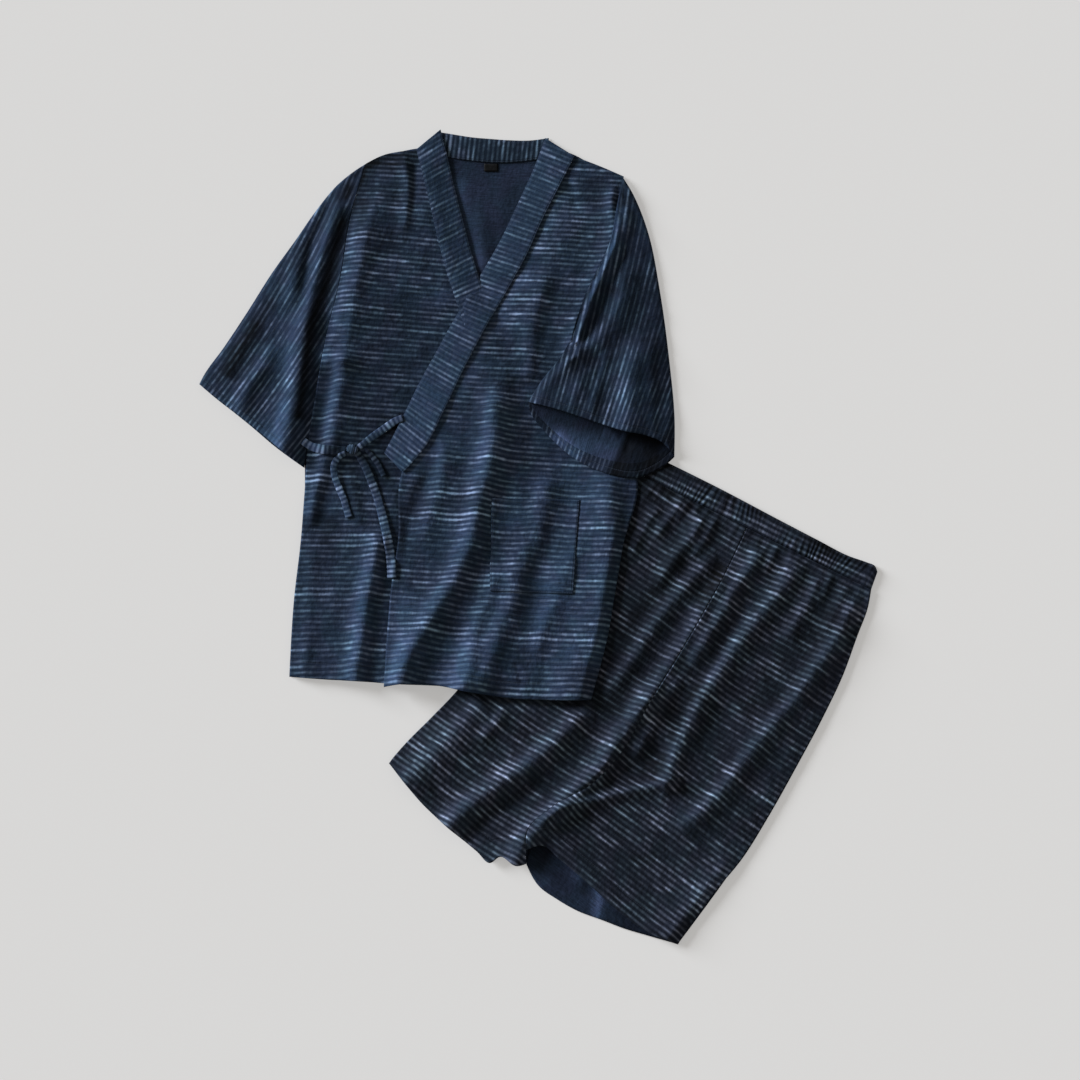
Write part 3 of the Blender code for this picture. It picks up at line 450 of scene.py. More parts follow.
SHORTS_LIGHT_AND_SHADE = [
    ([(722, 556), (706, 580), (690, 602)], 18, 18, -0.48, 8, 16),
    ([(646, 488), (628, 520), (606, 552), (586, 580)], 28, 28, -0.34, 6, 20),
    ([(690, 543), (673, 565), (659, 585), (645, 605), (629, 625), (616, 645)], 10, 10, -0.50, 6, 16),
    ([(812, 700), (792, 740), (770, 782), (756, 810)], 12, 16, 0.70, 20, 16),
    ([(752, 842), (724, 880), (698, 912)], 12, 30, 0.85, 14, 10),
    ([(846, 634), (836, 664), (820, 700), (808, 724)], 9, 12, 0.50, 8, 12),
    ([(866, 582), (862, 600), (856, 620)], 8, 14, 0.90, 4, 12),
    ([(596, 700), (560, 724), (520, 748)], 10, 16, -0.15, 8, 20),
    ([(648, 778), (620, 784), (600, 790)], 8, 8, -0.22, 6, 6),
    ([(580, 812), (606, 806), (640, 800)], 16, 16, -0.30, 10, 20),
    ([(662, 750), (652, 784)], 13, 11, -0.50, 6, 4),
    ([(678, 716), (670, 742)], 9, 9, -0.45, 6, 6),
    ([(638, 664), (624, 688), (606, 716)], 15, 16, -0.46, 8, 10),
    ([(758, 696), (744, 722)], 12, 12, -0.28, 8, 8),
    ([(590, 700), (584, 718)], 7, 7, 0.50, 4, 4),
    ([(548, 820), (572, 830), (600, 836)], 10, 10, 0.30, 6, 6),
    ([(724, 564), (712, 580)], 10, 10, -0.40, 4, 4),
    ([(636, 482), (664, 492), (690, 506)], 11, 11, -0.40, 6, 8),
    ([(528, 838), (528, 862)], 7, 7, 0.70, 6, 0),
    ([(548, 800), (560, 812)], 7, 7, 0.50, 4, 4),
    ([(664, 806), (684, 806)], 8, 8, 0.40, 4, 4),
    ([(708, 680), (696, 702)], 12, 12, -0.35, 6, 6),
    ([(678, 664), (666, 690), (654, 706)], 8, 8, 0.45, 6, 6),
    ([(786, 640), (766, 680), (740, 710)], 20, 20, -0.25, 12, 16),
    ([(840, 612), (828, 634)], 9, 9, -0.35, 6, 6),
    ([(784, 560), (776, 576)], 8, 8, -0.35, 4, 4),
    ([(470, 790), (452, 812), (438, 828)], 16, 16, 0.40, 10, 4),
    ([(484, 738), (494, 718), (502, 702)], 9, 9, 0.50, 6, 4),
    ([(500, 842), (492, 856)], 10, 12, 0.40, 6, 0),
    ([(484, 702), (520, 704), (556, 706)], 8, 8, 0.75, 6, 6),
    ([(868, 590), (862, 612), (854, 632)], 5, 9, 0.60, 4, 6),
    ([(680, 650), (664, 690), (700, 700), (722, 760)], 16, 16, -0.14, 10, 14),
    ([(852, 566), (870, 578)], 11, 11, 0.60, 0, 0),
    ([(745, 611), (728, 639), (714, 664), (705, 677), (688, 708)], 2.4, 8, -0.45, 10, 10),
    ([(745, 611), (728, 639), (714, 664), (705, 677), (688, 708)], 10, 2.4, 0.28, 10, 10),
    ([(722, 572), (708, 596), (694, 610)], 9, 9, -0.42, 4, 6),
    ([(764, 570), (752, 594), (744, 612), (738, 626)], 8, 8, 0.50, 6, 6),
    ([(508, 703), (503, 724)], 6, 6, 0.80, 2, 4),
    ([(532, 716), (518, 740)], 8, 8, -0.45, 4, 4),
    ([(530, 756), (526, 776)], 8, 8, 0.40, 4, 4),
    ([(466, 820), (484, 848)], 10, 12, 0.40, 4, 0),
    ([(544, 830), (532, 858)], 9, 9, 0.55, 4, 0),
    ([(558, 824), (576, 830)], 8, 8, 0.35, 4, 4),
    ([(652, 756), (642, 776)], 9, 9, -0.40, 4, 4),
    ([(629, 759), (612, 780)], 6, 6, 0.40, 4, 4),
    ([(846, 600), (816, 628), (790, 650)], 14, 14, -0.25, 8, 8),
    ([(628, 861), (660, 857)], 9, 9, -0.32, 6, 6),
    ([(655, 478), (678, 492)], 12, 12, -0.38, 4, 4),
]
CUFF_LIGHT_AND_SHADE = [
    ([(630, 436), (624, 452), (614, 474)], 26, 11, -0.86, 0, 0),
    ([(656, 444), (652, 466)], 24, 20, -0.80, 0, 0),
    ([(614, 430), (606, 446)], 14, 10, -0.35, 0, 4),
    ([(532, 404), (552, 418), (576, 424), (606, 430)], 12, 12, -0.60, 0, 6),
    ([(590, 446), (574, 440)], 12, 12, 0.15, 4, 4),
    ([(552, 432), (564, 444), (584, 460)], 7, 7, 2.40, 6, 8),
]
LEG_LIGHT_AND_SHADE = [
    ([(601, 884), (596, 920)], 5.5, 6.5, 2.6, 0, 0),
    ([(580, 862), (573, 884)], 9, 9, 0.7, 4, 6),
    ([(586, 882), (582, 896)], 6, 5, -0.5, 2, 2),
    ([(540, 846), (554, 866)], 12, 12, -0.35, 0, 6),
    ([(644, 905), (634, 935)], 34, 34, -0.50, 0, 0),
    ([(537, 868), (548, 886)], 8, 8, 0.60, 4, 4),
]

# Narrow troughs along seams: line, half width, depth.
JACKET_SEAMS = [
    (ARMHOLE_RIGHT, 3.2, 0.4),
    (ARMHOLE_LEFT, 3.2, 0.9),
    ([(419, 152), (421, 172), (429, 206), (437, 240), (446, 272), (455, 300)], 2.2, 0.5),
]
SHORTS_SEAMS = [
    ([(747, 528), (728, 568), (704, 612), (676, 660), (651, 700), (643, 721)], 3.6, 0.05),
    ([(643, 721), (618, 757), (590, 785), (573, 797)], 3.6, 0.12),
]

TIE_SIDE = [(303, 441, 5.2), (311, 446, 5.4), (321, 449, 6.2), (331, 450, 6.4),
            (340, 450, 5.2), (346, 450, 3.8)]
TIE_BAND = [(403, 418, 4.6), (394, 422, 5.0), (384, 429, 5.2), (374, 436, 5.0),
            (365, 443, 4.4), (358, 448, 3.6)]
TIE_TAIL_SHORT = [(346, 453, 3.4), (339, 457, 4.2), (334, 465, 4.6), (335, 477, 4.6),
                  (340, 490, 4.7), (345, 503, 4.7), (349, 517, 4.8)]
TIE_TAIL_LONG = [(357, 452, 4.0), (364, 464, 5.2), (372, 482, 5.6), (379, 503, 5.8),
                 (384, 522, 6.0), (388, 541, 6.1), (391, 560, 6.2), (392, 578, 6.2)]
TIE_LOOP = [(366, 449, 3.0), (373, 457, 3.6), (379, 466, 3.8), (384, 476, 3.4)]
KNOT = (352.5, 449.5)

# Stripe grain: centre, then the stripe count's two slopes and three bends per
# 100 units, and how much the stripes shift over a rise.
GRAIN = {
    "front_right": (390, 455, -0.77, 19.3, -0.6, 0.26, -0.67, 0.42),
    "front_left": (529, 497, -1.19, 19.04, 0.25, 0.02, -0.65, 0.42),
    "sleeve_right": (273, 336, 16.97, 11.05, 1.41, -0.31, 2.0, 0.0),
    "sleeve_left": (624, 352, 19.1, 5.65, 0.0, 1.5, 2.1, 0.0),
    "shorts_right": (571, 687, -9.99, 14.95, 1.0, 0.6, 0.29, 0.32),
    "shorts_left": (725, 736, -9.73, 15.19, 0.86, -0.53, -0.9, 0.32),
}


def grain(key, xy, bend):
    cu, cv, a, b, c, d, e, shift = GRAIN[key]
    u, v = layout(xy)
    U, V = (u - cu) / 100, (v - cv) / 100
    phase = a * U + b * V + c * U * U / 2 + d * U * V + e * V * V / 2 + shift * bend / PITCH
    size = math.hypot(a, b)
    along = (U * b - V * a) / size * 100 * GRID / 10
    return np.stack([along, phase + 40.0], -1)


# ---------------------------------------------------------------- height maps
NX, NY = int(round(2 * HALF[0] / CELL)), int(round(2 * HALF[1] / CELL))
XC = (np.arange(NX) + 0.5) * CELL - HALF[0]
YC = (np.arange(NY) + 0.5) * CELL - HALF[1]


def window(points, margin):
    low, high = points.min(0) - margin, points.max(0) + margin
    x = np.clip(((np.array([low[0], high[0]]) + HALF[0]) / CELL).astype(int) + [0, 1], 0, NX)
    y = np.clip(((np.array([low[1], high[1]]) + HALF[1]) / CELL).astype(int) + [0, 1], 0, NY)
    return slice(y[0], y[1]), slice(x[0], x[1])


def fill(poly):
    """Cells whose middles lie inside a closed line."""
    count = np.zeros((NY, NX + 1), int)
    for (x0, y0), (x1, y1) in zip(poly, np.roll(poly, -1, 0)):
        if y0 == y1:
            continue
        rows = np.nonzero((YC >= min(y0, y1)) & (YC < max(y0, y1)))[0]
        x = x0 + (YC[rows] - y0) * (x1 - x0) / (y1 - y0)
        col = np.clip(np.ceil((x + HALF[0]) / CELL - 0.5), 0, NX).astype(int)
        np.add.at(count, (rows, col), 1)
    return (np.cumsum(count, 1)[:, :NX] % 2) == 1


def blur(a, times=1):
    for _ in range(times):
        b = a.copy()
        b[1:-1] = (a[:-2] + 2 * a[1:-1] + a[2:]) / 4
        c = b.copy()
        c[:, 1:-1] = (b[:, :-2] + 2 * b[:, 1:-1] + b[:, 2:]) / 4
        a = c
    return a


def widest(a):
    b = a.copy()
    b[1:] = np.maximum(b[1:], a[:-1])
    b[:-1] = np.maximum(b[:-1], a[1:])
    c = b.copy()
    c[:, 1:] = np.maximum(c[:, 1:], b[:, :-1])
    c[:, :-1] = np.maximum(c[:, :-1], b[:, 1:])
    return c


def sample(field, xy):
    x = np.clip((xy[..., 0] + HALF[0]) / CELL - 0.5, 0, NX - 1.001)
    y = np.clip((xy[..., 1] + HALF[1]) / CELL - 0.5, 0, NY - 1.001)
    i, j = y.astype(int), x.astype(int)
    g, f = y - i, x - j
    return ((field[i, j] * (1 - f) + field[i, j + 1] * f) * (1 - g)
            + (field[i + 1, j] * (1 - f) + field[i + 1, j + 1] * f) * g)


def along_line(line, X, Y):
    """Distance to a line, the side, and the run along it, for each point."""
    best = np.full(X.shape, 1e9)
    side = np.zeros(X.shape)
    run = np.zeros(X.shape)
    start = 0.0
    for p, q in zip(line[:-1], line[1:]):
        leg = q - p
        size = math.hypot(*leg)
        if size < 1e-6:
            continue
        rx, ry = X - p[0], Y - p[1]
        t = np.clip((rx * leg[0] + ry * leg[1]) / size ** 2, 0, 1)
        ox, oy = rx - t * leg[0], ry - t * leg[1]
        d = np.hypot(ox, oy)
        near = d < best
        best = np.where(near, d, best)
        side = np.where(near, leg[0] * ry - leg[1] * rx, side)
        run = np.where(near, start + t * size, run)
        start += size
    return best, side, run, start


def relief(folds):
    """All folds of a table as one height map."""
    total = np.zeros((NY, NX))
    for points, east, west, high, fade_in, fade_out in folds:
        line = smooth(plan(points), 3)
        win = window(line, 2.4 * max(east, west))
        Y, X = np.meshgrid(YC[win[0]], XC[win[1]], indexing="ij")
        d, side, run, size = along_line(line, X, Y)
        width = np.where(side > 0, east, west)
        fade = np.ones(X.shape)
        if fade_in:
            fade *= np.clip(run / fade_in, 0, 1) ** 1.3
        if fade_out:
            fade *= np.clip((size - run) / fade_out, 0, 1) ** 1.3
        x = d / width
        total[win] += high * fade * np.exp(-x ** 2 / (1 + 0.15 * x))
    return total


def seam_relief(seams):
    total = np.zeros((NY, NX))
    for points, width, depth in seams:
        line = smooth(plan(points), 3)
        win = window(line, 3 * width)
        Y, X = np.meshgrid(YC[win[0]], XC[win[1]], indexing="ij")
        d = along_line(line, X, Y)[0]
        total[win] = np.minimum(total[win], -depth * np.exp(-(d / width) ** 2))
    return total


def far_from(lines, limit=90.0):
    best = np.full((NY, NX), limit)
    for points in lines:
        line = plan(points)
        win = window(line, limit)
        Y, X = np.meshgrid(YC[win[0]], XC[win[1]], indexing="ij")
        best[win] = np.minimum(best[win], along_line(line, X, Y)[0])
    return best


def waves(seed, length, spread, angle, spray, count=26):
    """A seeded mixture of soft waves about a length and a direction."""
    rng = np.random.RandomState(seed)
    Y, X = np.meshgrid(YC, XC, indexing="ij")
    total = np.zeros((NY, NX))
    for _ in range(count):
        size = length * math.exp(spread * rng.uniform(-1, 1))
        way = math.radians(angle + spray * rng.uniform(-1, 1))
        total += np.cos((X * math.cos(way) + Y * math.sin(way)) * 2 * math.pi / size
                        + rng.uniform(0, 2 * math.pi))
    return total / math.sqrt(count / 2)


def loft(far, edge=1.6, body=3.4, reach=18.0):
    return edge * (1 - np.exp(-far / 3.2)) + body * (1 - np.exp(-far / reach))


class Pile:
    """Tops of all that has been laid down so far."""

    def __init__(self):
        self.high = np.zeros((NY, NX))

    def lay(self, outline, rise, folds, wall=WALL, gap=GAP, soften=36, relax=70, pull=0.012,
            low=0.0, settle=2, meet=None):
        """Heights of an underside laid over the pile, spread a little past its edge.
        Panels sewn together are laid as one: a list of outlines."""
        parts = outline if isinstance(outline, list) else [outline]
        inside = np.logical_or.reduce([fill(part) for part in parts])
        win = window(np.concatenate(parts), 4 * CELL)
        m = inside[win].astype(float)
        floor = np.where(self.high[win] > 0, self.high[win] + gap, low)
        floor = np.where(m > 0, widest(np.where(m > 0, floor, 0)), 0.0)
        norm = blur(m) + 1e-9
        soft, weight = blur(floor * m, soften), blur(m, soften) + 1e-9
        want = soft / weight + rise[win] * 1.0
        z = np.maximum(floor, want)
        for _ in range(relax):
            z = blur(z * m) / norm
            z = np.maximum(z + pull * (want - z), floor)
        z = z + folds[win]
        if meet is not None:
            z = z + (meet[0][win] - z) * meet[1][win]
        for _ in range(settle):
            z = np.maximum(z, floor)
            z = blur(z * m) / norm
        z = np.maximum(z, floor)
        top = self.high[win]
        self.high[win] = np.where(m > 0, np.maximum(top, z + wall), top)
        z, known = z * m, m.copy()
        for _ in range(4):
            near, share = blur(z * known), blur(known)
            new = (known == 0) & (share > 1e-6)
            z = np.where(new, near / np.maximum(share, 1e-9), z)
            known = np.where(new, 1.0, known)
        out = np.zeros((NY, NX))
        out[win] = z
        return out


# ---------------------------------------------------------------- materials
class Nodes:
    def __init__(self, tree):
        self.tree = tree

    def add(self, kind, inputs=None, **props):
        node = self.tree.nodes.new(kind)
        for key, value in props.items():
            setattr(node, key, value)
        for key, value in (inputs or {}).items():
            if isinstance(value, bpy.types.NodeSocket):
                self.tree.links.new(value, node.inputs[key])
            else:
                node.inputs[key].default_value = value
        return node

    def math(self, op, *args, clamp=False):
        return self.add("ShaderNodeMath", dict(enumerate(args)), operation=op,
                        use_clamp=clamp).outputs[0]

    def ramp(self, value, a, b, c=0.0, d=1.0):
        return self.add("ShaderNodeMapRange", {0: value, 1: a, 2: b, 3: c, 4: d},
                        interpolation_type="SMOOTHSTEP", clamp=True).outputs[0]

    def noise(self, x, y, scale=1.0, detail=2.0, rough=0.5):
        vector = self.add("ShaderNodeCombineXYZ", {0: x, 1: y, 2: 0.0}).outputs[0]
        return self.add("ShaderNodeTexNoise", {"Vector": vector, "Scale": scale, "Detail": detail,
                                               "Roughness": rough},
                        noise_dimensions="2D").outputs[0]

    def chance(self, value, seed):
        shifted = self.math("ADD", value, seed)
        return self.add("ShaderNodeTexWhiteNoise", {"W": shifted}, noise_dimensions="1D").outputs[0]

    def mix(self, share, a, b):
        node = self.add("ShaderNodeMix", {0: share}, data_type="RGBA")
        for k, value in ((6, a), (7, b)):
            if isinstance(value, bpy.types.NodeSocket):
                self.tree.links.new(value, node.inputs[k])
            else:
                node.inputs[k].default_value = (*value, 1.0)
        return node.outputs[2]

    def scale(self, colour, by):
        return self.add("ShaderNodeVectorMath", {0: colour, 3: by}, operation="SCALE").outputs[0]


def cloth(name, ground, pale, stripes=1.0, bright=1.0, stitches=(), thread=(0.10, 0.13, 0.20),
          rough=0.86, seed=0.0, wide=1.0, crest_wear_and_highlight=0.45, shine=0.52):
    """Plain-woven cotton with pale slub yarns across it. The cloth map gives the
    run along the yarns in cm and the stripe count; the edge map the distance
    from the nearest stitched edge and the run along it, in mm. The crest map is
    the height of a fold, which makes fold crests paler, part wear and part
    painted highlight, and a share of painted light (above 0) or painted shade (below 0)."""
    material = bpy.data.materials.new(name)
    material.use_nodes = True
    tree = material.node_tree
    tree.nodes.clear()
    N = Nodes(tree)
    out = N.add("ShaderNodeOutputMaterial")
    shader = N.add("ShaderNodeBsdfPrincipled")
    tree.links.new(shader.outputs[0], out.inputs[0])
    cut = N.add("ShaderNodeSeparateXYZ", {0: N.add("ShaderNodeUVMap", uv_map="cloth").outputs[0]})
    run, count = cut.outputs[0], cut.outputs[1]

    wobble = N.noise(N.math("MULTIPLY", run, 0.45), N.math("MULTIPLY", count, 0.6), detail=1.0)
    wave = N.math("MULTIPLY_ADD", wobble, 0.13, count)
    line = N.math("FLOOR", wave)
    off = N.math("ABSOLUTE", N.math("SUBTRACT", N.math("FRACT", wave), 0.5))
    chance = N.chance(line, 3.3 + seed)
    chance2 = N.chance(line, 71.9 + seed)
    shift = N.math("MULTIPLY", line, 7.31)
    dash = N.noise(N.math("MULTIPLY_ADD", run, 0.34, shift), N.math("MULTIPLY", line, 3.17),
                   detail=2.0, rough=0.6)
    slub = N.noise(N.math("MULTIPLY_ADD", run, 1.5, shift), N.math("MULTIPLY", line, 1.73),
                   detail=2.0, rough=0.6)
    half = N.math("MULTIPLY_ADD", slub, 0.15 * wide, 0.145 * wide)
    inner = N.math("MULTIPLY", half, 0.15)
    outer = N.math("MULTIPLY", half, 1.7)
    body = N.add("ShaderNodeMapRange", {0: off, 1: inner, 2: outer, 3: 1.0, 4: 0.0},
                 interpolation_type="SMOOTHSTEP", clamp=True).outputs[0]
    dashes = N.ramp(dash, 0.34, 0.68, 0.26, 1.0)
    spread = N.noise(N.math("MULTIPLY", run, 0.10), N.math("MULTIPLY", count, 0.085), detail=1.0)
    lines = N.math("MULTIPLY_ADD", N.math("POWER", chance, 2.0), 0.72, 0.30)
    lines = N.math("MULTIPLY", lines, N.ramp(spread, 0.32, 0.68, 0.70, 1.30))
    knots = N.ramp(slub, 0.30, 0.72, 0.70, 1.18)
    amount = N.math("MULTIPLY", N.math("MULTIPLY", body, dashes), N.math("MULTIPLY", lines, knots))
    # the thickest slubs carry a bright core
    core = N.ramp(off, 0.02, 0.15, 1.0, 0.0)
    spark = N.math("MULTIPLY", core, N.ramp(dash, 0.50, 0.74, 0.0, 0.95))
    amount = N.math("MULTIPLY", amount, N.math("MULTIPLY_ADD", spark, shine, 0.67))
    amount = N.math("MULTIPLY", amount, stripes, clamp=True)

    # thin dark and light yarns between the slubs, and slow fading
    yarn = N.noise(N.math("MULTIPLY", run, 0.5), N.math("MULTIPLY", count, 5.3), detail=3.0,
                   rough=0.65)
    fleck = N.noise(N.math("MULTIPLY", run, 5.0), N.math("MULTIPLY", count, 3.6), detail=3.0,
                    rough=0.7)
    cloud = N.noise(N.math("MULTIPLY", run, 0.16), N.math("MULTIPLY", count, 0.11), detail=3.0)
    tone = N.math("MULTIPLY", N.ramp(yarn, 0.25, 0.75, 0.66, 1.36),
                  N.ramp(fleck, 0.2, 0.8, 0.82, 1.18))
    tone = N.math("MULTIPLY", tone, N.ramp(cloud, 0.25, 0.75, 0.86, 1.14))
    tone = N.math("MULTIPLY", tone, bright)
    base = N.add("ShaderNodeRGB")
    base.outputs[0].default_value = (*ground, 1.0)
    colour = N.mix(amount, N.scale(base.outputs[0], tone), pale)
    # uneven dye: some stretches greener, some redder
    dye = N.noise(N.math("MULTIPLY", run, 0.30), N.math("MULTIPLY", count, 0.17), detail=2.0)
    tint = N.mix(N.ramp(dye, 0.34, 0.66), (0.92, 1.02, 0.99), (1.07, 0.98, 1.02))
    colour = N.add("ShaderNodeVectorMath", {0: colour, 1: tint}, operation="MULTIPLY").outputs[0]
    crest = N.add("ShaderNodeSeparateXYZ",
                  {0: N.add("ShaderNodeUVMap", uv_map="crest").outputs[0]})
    # fold crests are paler by their height: part wear, part painted highlight
    fade = N.ramp(crest.outputs[0], 0.10, 0.90, 0.0, 1.0)
    # the second channel scales the colour with painted light (above 0) and painted shade (below 0)
    painted_tone = N.math("MAXIMUM", N.math("ADD", crest.outputs[1], 1.0), 0.07)
    colour = N.scale(colour, N.math("MULTIPLY", painted_tone, N.math("MULTIPLY_ADD", fade, crest_wear_and_highlight, 1.0)))

    # raised slubs, puckered ground, threads
    pucker = N.noise(N.math("MULTIPLY", run, 1.6), N.math("MULTIPLY", count, 0.9), detail=2.0)
    rib = N.math("SINE", N.math("MULTIPLY", count, 2 * math.pi * 5))
    height = N.math("MULTIPLY_ADD", body, N.math("MULTIPLY", dashes, 0.25), N.math("MULTIPLY", pucker, 1.5))
    height = N.math("MULTIPLY_ADD", rib, 0.05, height)
    height = N.math("MULTIPLY_ADD", fleck, 0.22, height)

    if stitches:
        edge = N.add("ShaderNodeSeparateXYZ",
                     {0: N.add("ShaderNodeUVMap", uv_map="edge").outputs[0]})
        away, beside = edge.outputs[0], edge.outputs[1]
        for offset in stitches:
            gap = N.math("ABSOLUTE", N.math("SUBTRACT", away, offset))
            part = N.math("ABSOLUTE", N.math("SUBTRACT",
                          N.math("FRACT", N.math("MULTIPLY", beside, 1 / 3.1)), 0.5))
            dot = N.math("MULTIPLY", N.ramp(gap, 0.25, 0.6, 1.0, 0.0), N.ramp(part, 0.30, 0.40, 1.0, 0.0))
            colour = N.mix(N.math("MULTIPLY", dot, 0.2), colour, thread)
            # the groove beside the stitches is also darkened in colour: painted shade
            groove = N.ramp(gap, 0.2, 1.8, 1.0, 0.0)
            colour = N.mix(N.math("MULTIPLY", groove, 0.22), colour, tuple(c * 0.25 for c in ground))
            height = N.math("MULTIPLY_ADD", groove, -0.9, height)
            height = N.math("MULTIPLY_ADD", dot, 0.5, height)
    tree.links.new(colour, shader.inputs["Base Color"])
    bump = N.add("ShaderNodeBump", {"Strength": 0.6, "Distance": 0.0008, "Height": height})
    tree.links.new(bump.outputs[0], shader.inputs["Normal"])
    fuzz = N.ramp(fleck, 0.2, 0.8, rough - 0.05, rough + 0.06)
    tree.links.new(fuzz, shader.inputs["Roughness"])
    shader.inputs["Specular IOR Level"].default_value = 0.08
    shader.inputs["Sheen Weight"].default_value = 0.035
    shader.inputs["Sheen Roughness"].default_value = 0.45
    shader.inputs["Sheen Tint"].default_value = (0.62, 0.74, 1.0, 1.0)
    return material


JACKET = (0.0085, 0.0165, 0.0345)
JACKET_PALE = (0.145, 0.215, 0.330)
SHORTS = (0.0050, 0.0078, 0.0145)
SHORTS_PALE = (0.180, 0.235, 0.330)
INNER = (0.0110, 0.0185, 0.0375)

MATS = {
    "jacket": cloth("jacket_cloth", JACKET, JACKET_PALE, stitches=(21.0,)),
    "sleeve": cloth("sleeve_cloth", JACKET, JACKET_PALE, stitches=(8.5,), seed=9.0, stripes=0.9,
                    shine=0.40, wide=0.88),
    # the left sleeve's copy of the cloth is darker: painted shade
    "sleeve_left": cloth("left_sleeve_cloth_shaded", JACKET, JACKET_PALE, stitches=(8.5,), seed=15.0,
                         stripes=0.84, bright=0.80, shine=0.30, wide=0.85),
    "band": cloth("band_cloth", JACKET, JACKET_PALE, stitches=(1.6,), seed=13.0,
                  stripes=1.15, bright=1.5),
    # the back band's copy of the band cloth is darker: painted shade
    "neck": cloth("neck_band_cloth_shaded", JACKET, JACKET_PALE, stitches=(1.6,), seed=13.0,
                  stripes=1.9, bright=0.9, shine=0.9),
    "pocket": cloth("pocket_cloth", JACKET, JACKET_PALE, stitches=(1.5,), seed=2.0),
    "tie": cloth("tie_cloth", JACKET, JACKET_PALE, seed=21.0, stripes=2.4, bright=1.7, wide=1.15),
    "shorts": cloth("shorts_cloth", SHORTS, SHORTS_PALE, stitches=(24.0,), seed=31.0,
                    stripes=0.8, crest_wear_and_highlight=0.75, shine=0.95),
    "waist": cloth("waistband_cloth", SHORTS, SHORTS_PALE, seed=37.0, stripes=0.6, crest_wear_and_highlight=0.9),
    "inner": cloth("jacket_wrong_side", INNER, JACKET_PALE, stripes=0.02, seed=41.0),
    # the sleeves' wrong side is a brighter copy of the jacket's wrong side: painted light inside the cuffs
    "inner_sleeve_lit": cloth("sleeve_wrong_side_lit", tuple(c * 1.9 for c in INNER), JACKET_PALE,
                          stripes=0.02, seed=42.0),
    "inner_shorts": cloth("shorts_wrong_side", tuple(c * 0.9 for c in INNER), SHORTS_PALE,
                          stripes=0.02, seed=43.0),
    "label": cloth("label_cloth", (0.0035, 0.0036, 0.0042), (0.01, 0.01, 0.01), stripes=0.1,
                   rough=0.7),
}


# ---------------------------------------------------------------- meshes
SEWN = far_from([ARMHOLE_RIGHT, ARMHOLE_LEFT, SHORTS_SEAMS[0][0], SHORTS_SEAMS[1][0]], 12.0)


def write(name, points, faces, uv, edge, slots, kinds, body="root"):
    """A mesh object from points in mm, four-cornered faces and per-point maps."""
    mesh = bpy.data.meshes.new(name + "_cloth")
    mesh.vertices.add(len(points))
    mesh.vertices.foreach_set("co", (points * 0.001).astype(np.float32).ravel())
    mesh.loops.add(faces.size)
    mesh.loops.foreach_set("vertex_index", faces.astype(np.int32).ravel())
    mesh.polygons.add(len(faces))
    mesh.polygons.foreach_set("loop_start", np.arange(0, faces.size, 4, dtype=np.int32))
    mesh.update(calc_edges=True)
    mesh.polygons.foreach_set("material_index", kinds.astype(np.int32))
    # the cut edge along a seam doesn't round off the cloth beside it
    corner = points[faces]
    facing = np.cross(corner[:, 2] - corner[:, 0], corner[:, 3] - corner[:, 1])
    steep = np.abs(facing[:, 2]) < 0.35 * np.linalg.norm(facing, axis=1)
    sewn = steep & (sample(SEWN, corner.mean(1)[:, :2]) < 1.8)
    mesh.polygons.foreach_set("use_smooth", ~sewn)
    crest = np.zeros((len(points), 2))
    crest[:, :edge.shape[1] - 2] = edge[:, 2:]
    for title, data in (("cloth", uv), ("edge", edge[:, :2]), ("crest", crest)):
        layer = mesh.uv_layers.new(name=title)
        layer.data.foreach_set("uv", data[faces.ravel()].astype(np.float32).ravel())
    for slot in slots:
        mesh.materials.append(MATS[slot])
    mesh.validate()
    piece = bpy.data.objects.new(name + "_cloth", mesh)
    bpy.context.scene.collection.objects.link(piece)
    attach(piece, body)
    return piece


def quads(rows, cols):
    i, j = np.meshgrid(np.arange(rows - 1), np.arange(cols - 1), indexing="ij")
    a = (i * cols + j).ravel()
    return np.stack([a, a + cols, a + cols + 1, a + 1], 1)


def shell(name, net, low, wall, uv, edge, slots, upper=0, under=1):
    """A closed cloth wall. Its upper and under faces take different sides of the cloth."""
    rows, cols = net.shape[:2]
    a, b, c = net[0, 0], net[-1, 0], net[0, -1]
    n = rows * cols
    flat = net.reshape(-1, 2)
    z = low.ravel()
    top = np.column_stack([flat, z + wall])
    bottom = np.column_stack([flat, z])
    face = quads(rows, cols)
    rim = rim_of(rows, cols)
    nxt = np.roll(rim, -1)
    side = np.stack([rim, nxt, nxt + n, rim + n], 1)
    faces = np.concatenate([face, face[:, ::-1] + n, side])
    if (b - a)[0] * (c - a)[1] - (b - a)[1] * (c - a)[0] < 0:
        faces = faces[:, ::-1]
    kinds = np.r_[np.full(len(face), upper), np.full(len(face), under), np.zeros(len(side), int)]
    uv, edge = uv.reshape(-1, 2), edge.reshape(-1, edge.shape[-1])
    return write(name, np.concatenate([top, bottom]), faces, np.concatenate([uv, uv]),
                 np.concatenate([edge, edge]), slots, kinds)


